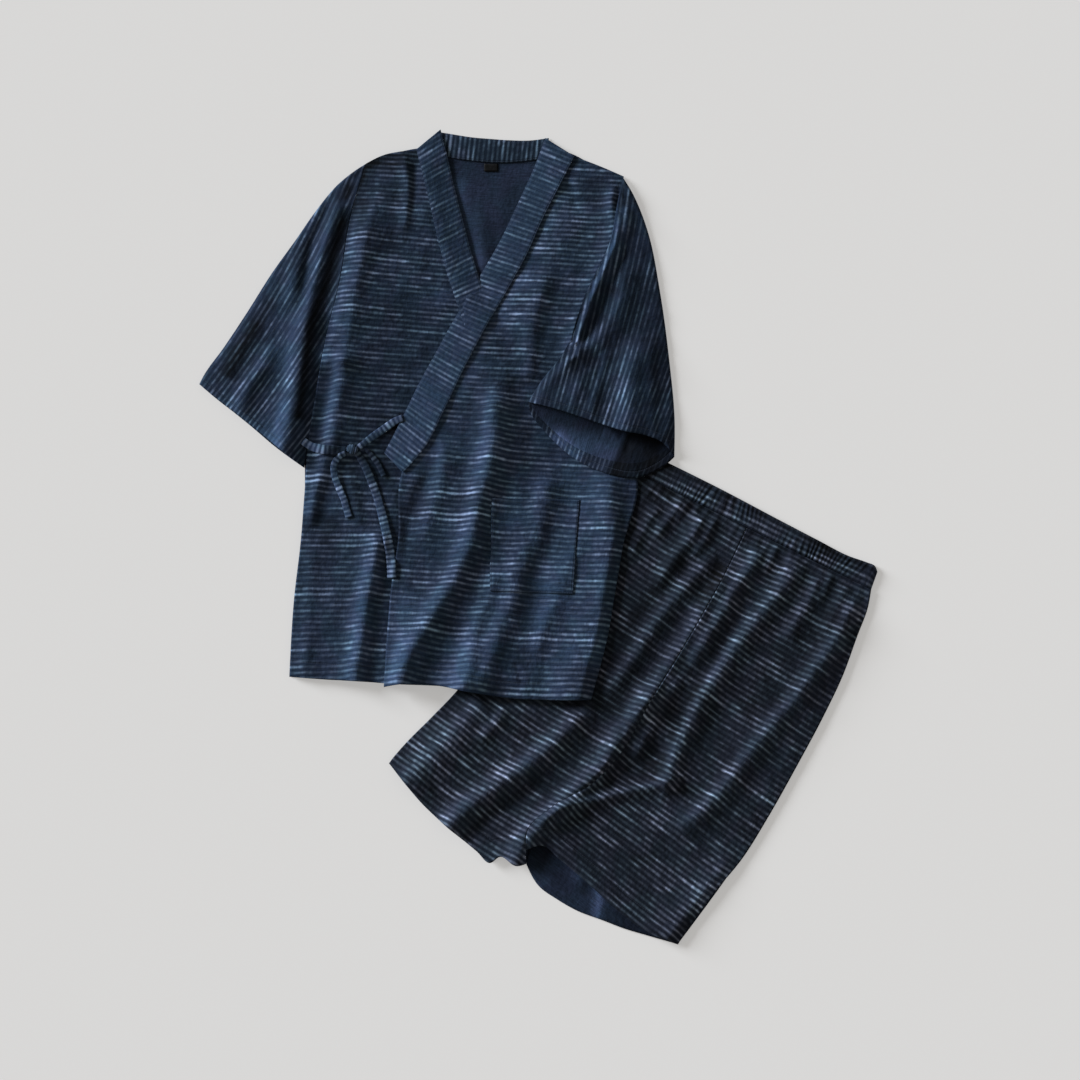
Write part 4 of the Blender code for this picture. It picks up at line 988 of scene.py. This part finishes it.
def tube(name, lower, upper, z_low, z_up, wall, uv_low, uv_up, edge_low, edge_up, slots, turned=0,
         turned_at_end=True):
    """A flattened tube with both skins. turned rows at its mouth show the outer side."""
    rows, cols = lower.shape[:2]

    def drawn_in(net):
        net = net.copy()
        for a, b in ((0, 1), (-1, -2)):
            step = net[:, b] - net[:, a]
            run = np.maximum(np.hypot(*step.T), 1e-6)[:, None]
            net[:, a] += step / run * np.minimum(wall, 0.45 * run)
        return net

    outside = np.concatenate([np.dstack([lower, z_low]), np.dstack([upper, z_up])[:, ::-1]], 1)
    inside = np.concatenate([np.dstack([drawn_in(lower), z_low + wall]),
                             np.dstack([drawn_in(upper), z_up - wall])[:, ::-1]], 1)
    around = 2 * cols
    n = rows * around
    i, j = np.meshgrid(np.arange(rows - 1), np.arange(around), indexing="ij")
    a = (i * around + j).ravel()
    b = (i * around + (j + 1) % around).ravel()
    skin = np.stack([a, b, b + around, a + around], 1)
    row = i.ravel()
    mouth = (row >= rows - 1 - turned) if turned_at_end else (row < turned)
    ends = []
    for at in (0, rows - 1):
        p = at * around + np.arange(around)
        q = at * around + (np.arange(around) + 1) % around
        ends.append(np.stack([p, q, q + n, p + n], 1)[:, ::(1 if at else -1)])
    faces = np.concatenate([skin, skin[:, ::-1] + n] + ends)
    kinds = np.r_[np.zeros(len(skin), int), np.where(mouth, 0, 1), np.zeros(2 * around, int)]
    points = np.concatenate([outside.reshape(-1, 3), inside.reshape(-1, 3)])
    # faces point out: the lower skin looks down
    p, q, r = points[faces[0][:3]]
    if np.cross(q - p, r - q)[2] > 0:
        faces = faces[:, ::-1]
    uv = np.concatenate([uv_low, uv_up[:, ::-1]], 1).reshape(-1, 2)
    edge = np.concatenate([edge_low, edge_up[:, ::-1]], 1).reshape(-1, edge_low.shape[-1])
    return write(name, points, faces, np.concatenate([uv, uv]), np.concatenate([edge, edge]),
                 slots, kinds)


def edge_map(net, lines, bend=None, tone=None):
    """Distance from the nearest stitched edge, the run along it, fold wear with painted highlight, and
    painted light and shade.
    """
    best = np.full(net.shape[:2], 60.0)
    beside = np.zeros(net.shape[:2])
    for points in lines:
        line = smooth(plan(points), 4)
        d, _, run, _ = along_line(line, net[..., 0], net[..., 1])
        near = d < best
        best, beside = np.where(near, d, best), np.where(near, run, beside)
    crest_wear_and_highlight = np.zeros(best.shape) if bend is None else np.clip(sample(bend, net) / 9.0, 0, 1.2)
    painted_tone = np.zeros(best.shape) if tone is None else np.clip(sample(tone, net), -0.92, 2.6)
    return np.stack([best, beside, crest_wear_and_highlight, painted_tone], -1)


def outline(net):
    return net.reshape(-1, 2)[rim_of(*net.shape[:2])]


def declare(piece, node, slot, flat, held="laid", rests_on=(), **more):
    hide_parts(node)


# ---------------------------------------------------------------- shorts
pile = Pile()
flat_map = np.zeros((NY, NX))
PIECES = {}

fine = 0.34 * waves(11, 46, 0.5, 0, 90) + 0.12 * waves(12, 17, 0.4, 0, 90)
fine_shorts = 0.30 * waves(13, 34, 0.5, 45, 25) + 0.14 * waves(14, 15, 0.4, 30, 40)


def gathers():
    """Uneven short gathers that fall away from the waistband's seam."""
    rng = np.random.RandomState(23)
    right = SHORTS_FRONT_RIGHT["rows"]
    left = SHORTS_FRONT_LEFT["rows"]
    rows, s = [], 0.03
    while s < 1.97:
        def at(level):
            table = right if s < 1 else left
            f = s if s < 1 else s - 1
            a = table[level]
            return np.array([a[0] + (a[2] - a[0]) * f, a[1] + (a[3] - a[1]) * f])
        p, q, r = at(0), at(1), at(2)
        reach = rng.uniform(0.25, 0.95)
        mid = p + (q - p) * reach * 0.5 + rng.uniform(-1.5, 1.5, 2)
        end = p + (q - p) * reach + rng.uniform(-2, 2, 2)
        rows.append(([tuple(p), tuple(mid), tuple(end)], rng.uniform(2.6, 4.0),
                     rng.uniform(2.6, 4.0), rng.uniform(1.0, 2.4), 0, 18 + 26 * reach))
        s += rng.uniform(0.045, 0.085)
    return rows


shorts_far = np.minimum(far_from(SHORTS_CLOSED), 11.0 + 3.0 * far_from([INNER_THIGH]))
shorts_hold = np.clip(shorts_far / 16.0, 0.22, 1)
shorts_bend = relief(SHORTS_FOLDS) + 0.5 * relief(gathers())
shorts_hems = far_from([SHORTS_FRONT_RIGHT["hem"], SHORTS_FRONT_LEFT["hem"]], 60.0)
shorts_fold = (shorts_bend + 0.5 * relief(gathers()) + seam_relief(SHORTS_SEAMS)) * shorts_hold \
    + fine_shorts * np.clip(shorts_far / 10, 0.2, 1) + 0.7 / (1 + np.exp((shorts_hems - 24) / 1.4))
shorts_rise = loft(shorts_far, 1.5, 3.6, 16.0)
# painted light and shade for the shorts and for the insides of the leg mouths
shorts_tone, leg_tone = relief(SHORTS_LIGHT_AND_SHADE), relief(LEG_LIGHT_AND_SHADE)

for name, piece, key, mate in (
        ("shorts_back_right", SHORTS_BACK_RIGHT, "shorts_right", None),
        ("shorts_back_left", SHORTS_BACK_LEFT, "shorts_left", None)):
    net = panel_net(piece, HIDDEN if name.endswith("right") else NET * 2.0)
    low = pile.lay(outline(net), flat_map, 0.25 * np.abs(fine_shorts) * (name == "shorts_back_left"))
    uv = grain(key, net, 0.0)
    PIECES[name] = shell(name, net, sample(low, net), WALL, uv,
                         edge_map(net, [piece["hem"]], None, leg_tone),
                         ["shorts", "inner_shorts"], upper=1, under=0)

# the gathered waistband: a tube round the waist, ruched by its elastic
cols = int(round(272 / (NET * 0.45))) + 1
rows = 15
down = np.linspace(0, 1, rows)
top_line, seam_line = by_length(plan(WAIST_TOP), cols), by_length(plan(WAIST_SEAM), cols)
left_line = plan([WAIST_TOP[0], WAIST_SEAM[0]])
right_line = plan([WAIST_TOP[-1], WAIST_SEAM[-1]])
waist = patch(top_line, seam_line, left_line[0] + (left_line[1] - left_line[0]) * down[:, None],
              right_line[0] + (right_line[1] - right_line[0]) * down[:, None], down)
waist = inset(waist, 0.05)
s = np.linspace(0, 272.0, cols)[None, :]
t = down[:, None]
rng = np.random.RandomState(5)
drift = np.interp(s[0], np.linspace(0, 272, 24), np.cumsum(rng.uniform(0.6, 1.5, 24)) * 11.8)[None, :]
tilt = 1.2 * np.sin(s / 31.0) + 0.8 * np.sin(s / 12.7 + 1)
wander = np.interp(s[0], np.linspace(0, 272, 60), rng.uniform(-1.6, 1.6, 60))[None, :]
ruche = np.cos(2 * math.pi * (drift + 3.0 * t * tilt + wander * (0.4 + t)) / 4.9)
swell = np.interp(s[0], np.linspace(0, 272, 52), rng.uniform(0.35, 1.35, 52))[None, :]
swell = swell * (0.55 + 0.45 * np.cos(2 * t + s / 19.0))
ends = np.clip(np.minimum(s, 272 - s) / 9.0, 0, 1) ** 0.5
rounded = np.sin(np.pi * np.clip(t, 0.0, 1.0)) ** 0.5
channel = 1 - 0.30 * np.exp(-((t - 0.36) / 0.05) ** 2) - 0.30 * np.exp(-((t - 0.68) / 0.05) ** 2)
z_low_waist = np.zeros(waist.shape[:2])
z_up_waist = (2 * WALL + 0.9 + ends * (3.0 * rounded * channel + 2.0 * (1 - 0.3 * t) + 1.2 * t ** 3
              + 0.8 * ruche * swell * (0.6 + 0.4 * rounded)))
waist_uv = np.stack([np.broadcast_to(s / 10 * 1.6, waist.shape[:2]),
                     np.broadcast_to(t * 28.0 / PITCH + 0.25, waist.shape[:2])], -1)
pile.high = np.maximum(pile.high, np.where(fill(outline(waist)), 2 * WALL + 5.0, 0))
# random patches of tone, a little darker overall, with painted shade along the top edge, near the left end
# and about 214 mm along, and painted light at the right end, which turns away from the lamp
patches = np.interp(s[0], np.linspace(0, 272, 22), rng.uniform(-0.25, 0.35, 22))[None, :]
waist_tone = patches + 0 * t - 0.12 - 0.45 * np.exp(-(t / 0.30) ** 2) - 0.35 * np.exp(-(s / 70.0) ** 2) \
    + 0.8 * np.exp(-((272 - s) / 14.0) ** 2)
waist_tone = waist_tone - 0.45 * np.exp(-((s - 214.0) / 14.0) ** 2)
# the ruche tops are paler than its grooves: painted highlight and painted shade
waist_edge = np.dstack([waist_uv * 0 + 30, 0.42 + 0.40 * ruche * swell, waist_tone])
PIECES["waistband"] = tube("waistband", waist, waist, z_low_waist, z_up_waist, WALL, waist_uv,
                           waist_uv, waist_edge, waist_edge, ["waist", "inner_shorts"])

# the two fronts have their points at the same places along the seam
rows = plan(np.array(SHORTS_FRONT_RIGHT["rows"], float).reshape(-1, 2, 2))
places = row_places(rows[:, 0], rows[:, 1], NET)
both = [panel_net(SHORTS_FRONT_RIGHT, NET, gap=0.012, at=places),
        panel_net(SHORTS_FRONT_LEFT, NET, gap=0.012,
                  at=places[places <= len(SHORTS_FRONT_LEFT["rows"]) - 1])]
low = pile.lay([outline(net) for net in both], shorts_rise, shorts_fold)
for name, piece, key, net in (("shorts_front_right", SHORTS_FRONT_RIGHT, "shorts_right", both[0]),
                              ("shorts_front_left", SHORTS_FRONT_LEFT, "shorts_left", both[1])):
    z = sample(low, net)
    # the gathered top edge meets the waistband
    meet = np.exp(-np.arange(net.shape[0]) * NET / 9.0)[:, None]
    z = z + meet * np.clip(4.6 - z, 0, 5)
    uv = grain(key, net, sample(shorts_bend, net))
    PIECES[name] = shell(name, net, z, WALL, uv,
                         edge_map(net, [piece["hem"]], shorts_bend, shorts_tone),
                         ["shorts", "inner_shorts"])

# ---------------------------------------------------------------- jacket
jacket_far = far_from(JACKET_CLOSED)
jacket_hold = np.clip(jacket_far / 14.0, 0.25, 1)
front_bend, right_bend, left_bend = (relief(t) for t in (JACKET_FOLDS, SLEEVE_RIGHT_FOLDS,
                                                        SLEEVE_LEFT_FOLDS))
# the folds of both sides meet along an armhole
near_right = np.exp(-(far_from([ARMHOLE_RIGHT], 70.0) / 20.0) ** 2)
near_left = np.exp(-(far_from([ARMHOLE_LEFT], 70.0) / 14.0) ** 2)
jacket_bend = front_bend + right_bend * near_right + left_bend * near_left
right_bend = right_bend + front_bend * near_right
left_bend = left_bend + front_bend * near_left
jacket_hems = far_from([FRONT_RIGHT["hem"], FRONT_LEFT["hem"]], 60.0)
jacket_seams = seam_relief(JACKET_SEAMS)
jacket_fold = (jacket_bend + jacket_seams) * jacket_hold \
    + fine * np.clip(jacket_far / 10, 0.2, 1) + 0.7 / (1 + np.exp((jacket_hems - 21) / 1.4))
jacket_rise = loft(jacket_far)
# painted light and shade for the jacket, its sleeves, its cuffs and its back
jacket_tone, right_tone, left_tone, cuff_tone, back_tone = (relief(t) for t in (
    JACKET_LIGHT_AND_SHADE, SLEEVE_RIGHT_LIGHT_AND_SHADE, SLEEVE_LEFT_LIGHT_AND_SHADE, CUFF_LIGHT_AND_SHADE, BACK_LIGHT_AND_SHADE))

net = panel_net(JACKET_BACK, HIDDEN)
neck = relief([([(480, 196), (482, 222), (485, 256), (488, 290)], 9, 9, 2.6, 30, 30),
               ([(468, 176), (466, 210), (474, 250)], 10, 12, 1.2, 20, 30),
               ([(508, 178), (502, 205), (494, 240)], 9, 12, 1.2, 15, 30)])
low = pile.lay(outline(net), flat_map, 0.35 * np.abs(fine) + neck)
PIECES["jacket_back"] = shell("jacket_back", net, sample(low, net), WALL, grain("front_left", net, 0.0),
                              edge_map(net, [JACKET_BACK["hem"]], None, back_tone), ["jacket", "inner"],
                              upper=1, under=0)
net = panel_net(LABEL, 2.5)
low = pile.lay(outline(net), flat_map, flat_map, wall=0.5)
PIECES["neck_label"] = shell("neck_label", net, sample(low, net), 0.5, net * 0.1,
                             edge_map(net, []), ["label"], upper=0, under=0)


def band(name, piece, wall=0.9, step=NET * 0.8):
    net = panel_net(piece, step, gap=0.3)
    low = pile.lay(outline(net), flat_map, 0.12 * fine, wall=wall, gap=0.3, soften=20, relax=40,
                   pull=0.02)
    mid = (net[:, 0] + net[:, -1]) / 2
    run = np.r_[0, np.hypot(*np.diff(mid, axis=0).T).cumsum()][:, None]
    wide = np.hypot(*(net[:, -1] - net[:, 0]).T)[:, None]
    across = np.linspace(0, 1, net.shape[1])[None, :]
    crown = 0.3 * np.sin(np.pi * across) ** 0.5
    lean = {"neckband_right": -0.13, "neckband_left": 0.18}.get(name, 0.12)
    uv = np.stack([across * wide / 10 + run * 0, (run + lean * (across - 0.5) * wide) / 6.5], -1)
    # painted shade on the back band, and painted light on the lower stretches of the front bands
    tone = {"neckband_back": -0.22 + 0 * run,
            "neckband_right": 0.30 * np.clip((run - 60) / 60, 0, 1),
            "neckband_left": 0.12 * np.clip((run - 330) / 70, 0, 1)}.get(name, 0 * run)
    edge = np.stack([np.minimum(across, 1 - across) * wide, run + across * 0,
                     0 * (run + across), tone + 0 * (run + across)], -1)
    # the stiff doubled band bridges what it lies on
    z = sample(low, net)
    line = z[:, :1] * (1 - across) + z[:, -1:] * across
    need = (z - line).max(1)
    lift = need
    for _ in range(12):
        lift = np.maximum(need, np.convolve(np.pad(lift, 2, "edge"), np.ones(5) / 5, "valid"))
    z = np.maximum(z, z + 0.9 * (line + lift[:, None] - z)) + crown
    slot = "neck" if name == "neckband_back" else "band"
    return shell(name, net, z, wall, uv, edge, [slot, slot], 0, 0)


PIECES["neckband_back"] = band("neckband_back", BAND_BACK)


def sleeve_nets(piece, step):
    seam, outer, under = (plan(piece[k]) for k in ("seam", "outer", "under"))
    across = int(round(np.hypot(*np.diff(seam, axis=0).T).sum() / step)) + 1
    size = (np.hypot(*np.diff(outer, axis=0).T).sum() + np.hypot(*np.diff(under, axis=0).T).sum()) / 2
    along = int(round(size / step)) + 1
    at = np.linspace(0, 1, along)
    first = smooth_at(seam, np.linspace(0, len(seam) - 1, across))
    left, right = by_length(outer, along), by_length(under, along)
    nets = [inset(patch(first, by_length(plan(piece[k]), across), left, right, at), 0.12)
            for k in ("cuff_under", "cuff")]
    for side in (0, -1):
        nets[1][:, side] = nets[0][:, side]
    return nets


def sleeve(name, piece, key, rise, folds, bend, tone, step=NET, gap=GAP, turned=12.0,
           slot="sleeve", crease=0.0, mate=None, meet=None):
    lower, upper = sleeve_nets(piece, step)
    z_low = sample(pile.lay(outline(lower), flat_map, 0.3 * np.abs(fine) + crease, gap=gap), lower)
    if mate is None:
        laid = pile.lay(outline(upper), rise, folds, gap=0.7, meet=meet)
    else:
        side = fill(outline(upper))
        laid = pile.lay([outline(upper), outline(mate[0])], rise, np.where(side, folds, mate[1]), gap=0.6)
        mate.append(laid)
    z_up = sample(laid, upper) + WALL
    rows, cols = lower.shape[:2]
    across = np.minimum(np.arange(cols), np.arange(cols)[::-1])[None, :] * step
    shut = z_low + 2 * WALL + 0.35
    ease = 1 - np.exp(-(across / 3.0))
    z_up = np.where(across < 12, np.maximum(shut, shut + (z_up - shut) * ease), z_up)
    z_up = np.maximum(z_up, shut)
    mid_rows = int(round(turned / step))
    maps = [edge_map(net, [piece[c]], b, t) for net, c, b, t in (
        (lower, "cuff_under", None, cuff_tone), (upper, "cuff", bend, tone))]
    return tube(name, lower, upper, z_low, z_up, WALL, grain(key, lower, 0.0),
                grain(key, upper, sample(bend, upper)), maps[0], maps[1], [slot, "inner_sleeve_lit"],
                turned=mid_rows)


cuffs = far_from([SLEEVE_RIGHT["cuff"], SLEEVE_LEFT["cuff"]], 40.0)
cuff_band = 0.6 / (1 + np.exp((cuffs - 9.5) / 1.0))
# the fold that shows is the upper front's: the front under it lies flatter
cover = blur(fill(outline(panel_net(FRONT_LEFT, 12.0))).astype(float), 40)
front_right_mate = [panel_net(FRONT_RIGHT, NET), jacket_fold * (1 - 0.85 * cover)]
PIECES["sleeve_right"] = sleeve("sleeve_right", SLEEVE_RIGHT, "sleeve_right", jacket_rise,
                                (right_bend + jacket_seams) * jacket_hold
                                + fine * np.clip(jacket_far / 10, 0.2, 1) + cuff_band,
                                right_bend, right_tone, mate=front_right_mate)

for name, piece, key, band_piece, slots, lines in (
        ("jacket_front_right", FRONT_RIGHT, "front_right", BAND_RIGHT, ["jacket", "inner"],
         [FRONT_RIGHT["hem"]]),
        ("jacket_front_left", FRONT_LEFT, "front_left", BAND_LEFT, ["jacket", "inner"],
         [FRONT_LEFT["hem"]])):
    if name.endswith("right"):
        net, _, low = front_right_mate
    else:
        net = panel_net(piece, NET)
        low = pile.lay(outline(net), jacket_rise * 0.55, jacket_fold)
    uv = grain(key, net, sample(jacket_bend, net))
    PIECES[name] = shell(name, net, sample(low, net), WALL, uv,
                         edge_map(net, lines, jacket_bend, jacket_tone), slots)
    side = "neckband_" + name.rsplit("_", 1)[1]
    PIECES[side] = band(side, band_piece)

shown = fill(outline(net)).astype(float)
left_meet = (blur(low * shown, 20) / (blur(shown, 20) + 1e-9),
             np.exp(-(far_from([ARMHOLE_LEFT], 40.0) / 6.5) ** 2))

net = panel_net(POCKET, NET * 0.8)
low = pile.lay(outline(net), flat_map, flat_map, wall=0.7, gap=0.35, soften=3, relax=6)
PIECES["pocket"] = shell("pocket", net, sample(low, net), 0.7,
                         grain("front_left", net, sample(jacket_bend, net)) + [0.0, 0.35],
                         edge_map(net, [[(492, 498), (490, 591)], [(490, 591), (573, 594)],
                                        [(573, 594), (580, 500)]], jacket_bend, jacket_tone),
                         ["pocket", "inner"])

left_far = far_from(SLEEVE_LEFT_CLOSED)
left_hold = np.clip(left_far / 9.0, 0.35, 1)
mouth = relief([([(530, 402), (595, 418), (627, 430), (668, 448)], 30, 26, 6.0, 10, 10)])
PIECES["sleeve_left"] = sleeve("sleeve_left", SLEEVE_LEFT, "sleeve_left", loft(left_far, 1.4, 2.4, 14.0),
                               (left_bend + seam_relief(JACKET_SEAMS[1:2])) * left_hold + fine * 0.8
                               + mouth + cuff_band, left_bend, left_tone, gap=0.8,
                               slot="sleeve_left", meet=left_meet,
                               crease=relief([([(629, 428), (622, 447), (604, 472)], 4, 4, 1.5, 4, 4)]))

# ---------------------------------------------------------------- ties
TIE_WALL = 0.9


def ribbon(name, table, seed, lift=1.3, tones=(0, 0)):
    table = np.array(table, float)
    xyw = np.column_stack([plan(table[:, :2]), table[:, 2]])
    count = int(round(np.hypot(*np.diff(xyw[:, :2], axis=0).T).sum() / (1.3 * NET / 2.1))) + 1
    line = by_length(xyw, count)
    way = np.gradient(line[:, :2], axis=0)
    way /= np.hypot(*way.T)[:, None]
    normal = np.stack([-way[:, 1], way[:, 0]], 1)
    cols = 9
    across = np.linspace(-1, 1, cols)
    rng = np.random.RandomState(seed)
    run = np.r_[0, np.hypot(*np.diff(line[:, :2], axis=0).T).cumsum()]
    sway = np.interp(run, np.linspace(0, run[-1], 9), rng.uniform(-0.35, 0.35, 9))
    net = line[:, None, :2] + normal[:, None] * (across[None, :, None] * line[:, 2][:, None, None]
                                                 + sway[:, None, None])
    low = pile.lay(outline(net), flat_map, flat_map, wall=TIE_WALL, soften=6, relax=10, pull=0.05)
    z = sample(low, net)
    roll = np.interp(run, np.linspace(0, run[-1], 7), rng.uniform(-1, 1, 7))[:, None]
    z = z + lift * (0.5 + 0.5 * np.sin(run[:, None] / 11.0 + seed)) \
        + 0.45 * roll * across[None] + 0.25 + 0.7 * (1 - across[None] ** 2)
    z = np.maximum(z, sample(low, net))
    uv = np.stack([np.broadcast_to(across[None] * line[:, 2:3] / 10, net.shape[:2]),
                   np.broadcast_to(run[:, None] / 6.6 + seed, net.shape[:2])], -1)
    tone = np.interp(run / run[-1], np.linspace(0, 1, len(tones)), tones)[:, None] + 0 * across[None]
    edge = np.stack([(1 - np.abs(across))[None] * line[:, 2:3],
                     np.broadcast_to(run[:, None], net.shape[:2]), 0 * tone, tone], -1)
    return shell(name, net, z, TIE_WALL, uv, edge, ["tie", "tie"], 0, 0)


# the tones paint shade on the ties near the knot and paint light along their lit stretches
PIECES["tie_side"] = ribbon("tie_side", TIE_SIDE, 1, tones=(0.2, 0.25, -0.3, -0.65, -0.65, -0.4))
PIECES["tie_band"] = ribbon("tie_band", TIE_BAND, 2, tones=(-0.4, -0.1, 0.1, -0.1, -0.5))
PIECES["tie_loop"] = ribbon("tie_loop", TIE_LOOP, 3, tones=(-0.6, -0.55))
PIECES["tie_tail_short"] = ribbon("tie_tail_short", TIE_TAIL_SHORT, 4, tones=(-0.4, 0.1, 0.2, 0.1))
PIECES["tie_tail_long"] = ribbon("tie_tail_long", TIE_TAIL_LONG, 5, tones=(-0.55, -0.25, 0, 0, 0.1))


def knot_piece():
    """The knot: a squashed wrap of tie cloth with creases drawn round it."""
    rings, around = 25, 48
    centre = plan(KNOT)
    base = float(sample(pile.high, centre[None])[0]) + 0.2
    turn = math.radians(-14)
    lat = (np.arange(rings) + 0.5)[:, None] / rings * math.pi
    lon = np.arange(around)[None, :] / around * 2 * math.pi
    crease = 1 - 0.16 * np.exp(-((lat - 1.15) / 0.12) ** 2) - 0.16 * np.exp(-((lat - 2.0) / 0.12) ** 2)
    crease = crease - 0.06 * np.sin(3 * lon + 2 * lat)
    x = 7.6 * np.cos(lat) + 0 * lon
    y = 6.6 * np.sin(lat) ** 0.75 * np.cos(lon) * crease
    z = 4.2 * np.sin(lat) ** 0.75 * np.sin(lon) * crease
    points = np.stack([centre[0] + x * math.cos(turn) - y * math.sin(turn),
                       centre[1] + x * math.sin(turn) + y * math.cos(turn), base + 4.3 + z], -1)
    n = rings * around
    flat = points.reshape(-1, 3)
    i, j = np.meshgrid(np.arange(rings - 1), np.arange(around), indexing="ij")
    a = (i * around + j).ravel()
    b = (i * around + (j + 1) % around).ravel()
    faces = np.stack([a, a + around, b + around, b], 1)
    caps = []
    for end, flip in ((0, 1), (rings - 1, -1)):
        ring = end * around + np.arange(around)
        for m in range(around // 2 - 1):
            quad = [ring[m], ring[m + 1], ring[-2 - m], ring[-1 - m]]
            caps.append(quad[::flip])
    faces = np.concatenate([faces, np.array(caps)])
    p, q, r = flat[faces[len(faces) // 3][:3]]
    middle = flat.mean(0)
    if np.dot(np.cross(q - p, r - q), p - middle) < 0:
        faces = faces[:, ::-1]
    uv = np.stack([lon * 6.0 / 10 + 0 * lat, lat * 2.4 + 0.35 * np.sin(lon)], -1).reshape(-1, 2)
    # the knot's cloth is darkened by painted shade
    edge = np.concatenate([np.full((n, 2), 30.0), np.tile([0.0, -0.35], (n, 1))], 1)
    return write("tie_knot", flat, faces, uv, edge, ["tie"], np.zeros(len(faces), int))


PIECES["tie_knot"] = knot_piece()

# ---------------------------------------------------------------- hidden CAD parts
declare(PIECES["shorts_back_right"], "shorts_back_right", "shorts_cloth", (0.27, 0.46), area=0.117)
declare(PIECES["shorts_back_left"], "shorts_back_left", "shorts_cloth", (0.26, 0.5), area=0.121)
declare(PIECES["shorts_front_right"], "shorts_front_right", "shorts_cloth", (0.28, 0.46), area=0.119,
        rests_on=["shorts_back_right"])
declare(PIECES["shorts_front_left"], "shorts_front_left", "shorts_cloth", (0.28, 0.48), area=0.122,
        rests_on=["shorts_back_left"])
declare(PIECES["waistband"], "waistband", "shorts_cloth", (0.70, 0.028), held="gathered")
declare(PIECES["jacket_back"], "jacket_back", "jacket_cloth", (0.47, 0.745), area=0.28)
declare(PIECES["jacket_front_right"], "jacket_front_right", "jacket_cloth", (0.32, 0.74), area=0.178,
        rests_on=["jacket_back"])
declare(PIECES["jacket_front_left"], "jacket_front_left", "jacket_cloth", (0.33, 0.74), area=0.168,
        rests_on=["jacket_front_right"])
declare(PIECES["sleeve_right"], "sleeve_right", "jacket_cloth", (0.66, 0.25), area=0.072)
declare(PIECES["sleeve_left"], "sleeve_left", "jacket_cloth", (0.52, 0.28), area=0.083,
        rests_on=["jacket_front_left"])
declare(PIECES["neckband_back"], "neckband_back", "band_cloth", (0.029, 0.150))
declare(PIECES["neckband_right"], "neckband_right", "band_cloth", (0.038, 0.270),
        rests_on=["jacket_front_right"])
declare(PIECES["neckband_left"], "neckband_left", "band_cloth", (0.038, 0.480),
        rests_on=["jacket_front_left"])
declare(PIECES["pocket"], "pocket", "jacket_cloth", (0.118, 0.127), rests_on=["jacket_front_left"])
declare(PIECES["neck_label"], "neck_label", "label", (0.019, 0.011), rests_on=["jacket_back"])
declare(PIECES["tie_side"], "tie_side", "tie_cloth", (0.0112, 0.058), with_pieces=[PIECES["tie_knot"]])
declare(PIECES["tie_band"], "tie_band", "tie_cloth", (0.0102, 0.072))
declare(PIECES["tie_loop"], "tie_loop", "tie_cloth", (0.0100, 0.043))
declare(PIECES["tie_tail_short"], "tie_tail_short", "tie_cloth", (0.0102, 0.092))
declare(PIECES["tie_tail_long"], "tie_tail_long", "tie_cloth", (0.0115, 0.178))
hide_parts("tie_knot")

# ---------------------------------------------------------------- stage
def floor():
    mesh = bpy.data.meshes.new("floor")
    mesh.from_pydata([(-6, -6, -0.0006), (6, -6, -0.0006), (6, 6, -0.0006), (-6, 6, -0.0006)], [],
                     [(0, 1, 2, 3)])
    material = bpy.data.materials.new("floor")
    material.use_nodes = True
    shader = material.node_tree.nodes["Principled BSDF"]
    shader.inputs["Base Color"].default_value = (0.34, 0.34, 0.34, 1.0)
    shader.inputs["Emission Color"].default_value = (1.0, 1.0, 1.0, 1.0)
    shader.inputs["Emission Strength"].default_value = 0.37
    shader.inputs["Roughness"].default_value = 0.95
    shader.inputs["Specular IOR Level"].default_value = 0.1
    mesh.materials.append(material)
    piece = bpy.data.objects.new("floor", mesh)
    bpy.context.scene.collection.objects.link(piece)


floor()


def sun(name, azimuth, elevation, strength, angle, colour=(1, 1, 1)):
    light = bpy.data.lights.new(name, "SUN")
    light.energy = strength
    light.angle = math.radians(angle)
    light.color = colour
    lamp = bpy.data.objects.new(name, light)
    az, el = math.radians(azimuth), math.radians(elevation)
    # the lamp shines along its own -Z, from the given azimuth and elevation
    lamp.rotation_euler = (math.pi / 2 - el, 0.0, az + math.pi / 2)
    lamp.location = (2 * math.cos(az), 2 * math.sin(az), 2.0)
    bpy.context.scene.collection.objects.link(lamp)


sun("key", 152, 17.5, 6.9, 24, (0.97, 0.995, 1.03))
world = bpy.data.worlds.new("studio")
world.use_nodes = True
world.node_tree.nodes["Background"].inputs[0].default_value = (1.15, 1.02, 0.85, 1.0)
world.node_tree.nodes["Background"].inputs[1].default_value = 0.25
bpy.context.scene.world = world

camera = bpy.data.cameras.new("camera")
camera.sensor_width = 36.0
camera.lens = 149.25
camera.clip_end = 50.0
eye = bpy.data.objects.new("camera", camera)
eye.location = (0.0027, -0.0040, 6.012)
bpy.context.scene.collection.objects.link(eye)
bpy.context.scene.camera = eye
bpy.context.scene.view_settings.view_transform = "Standard"
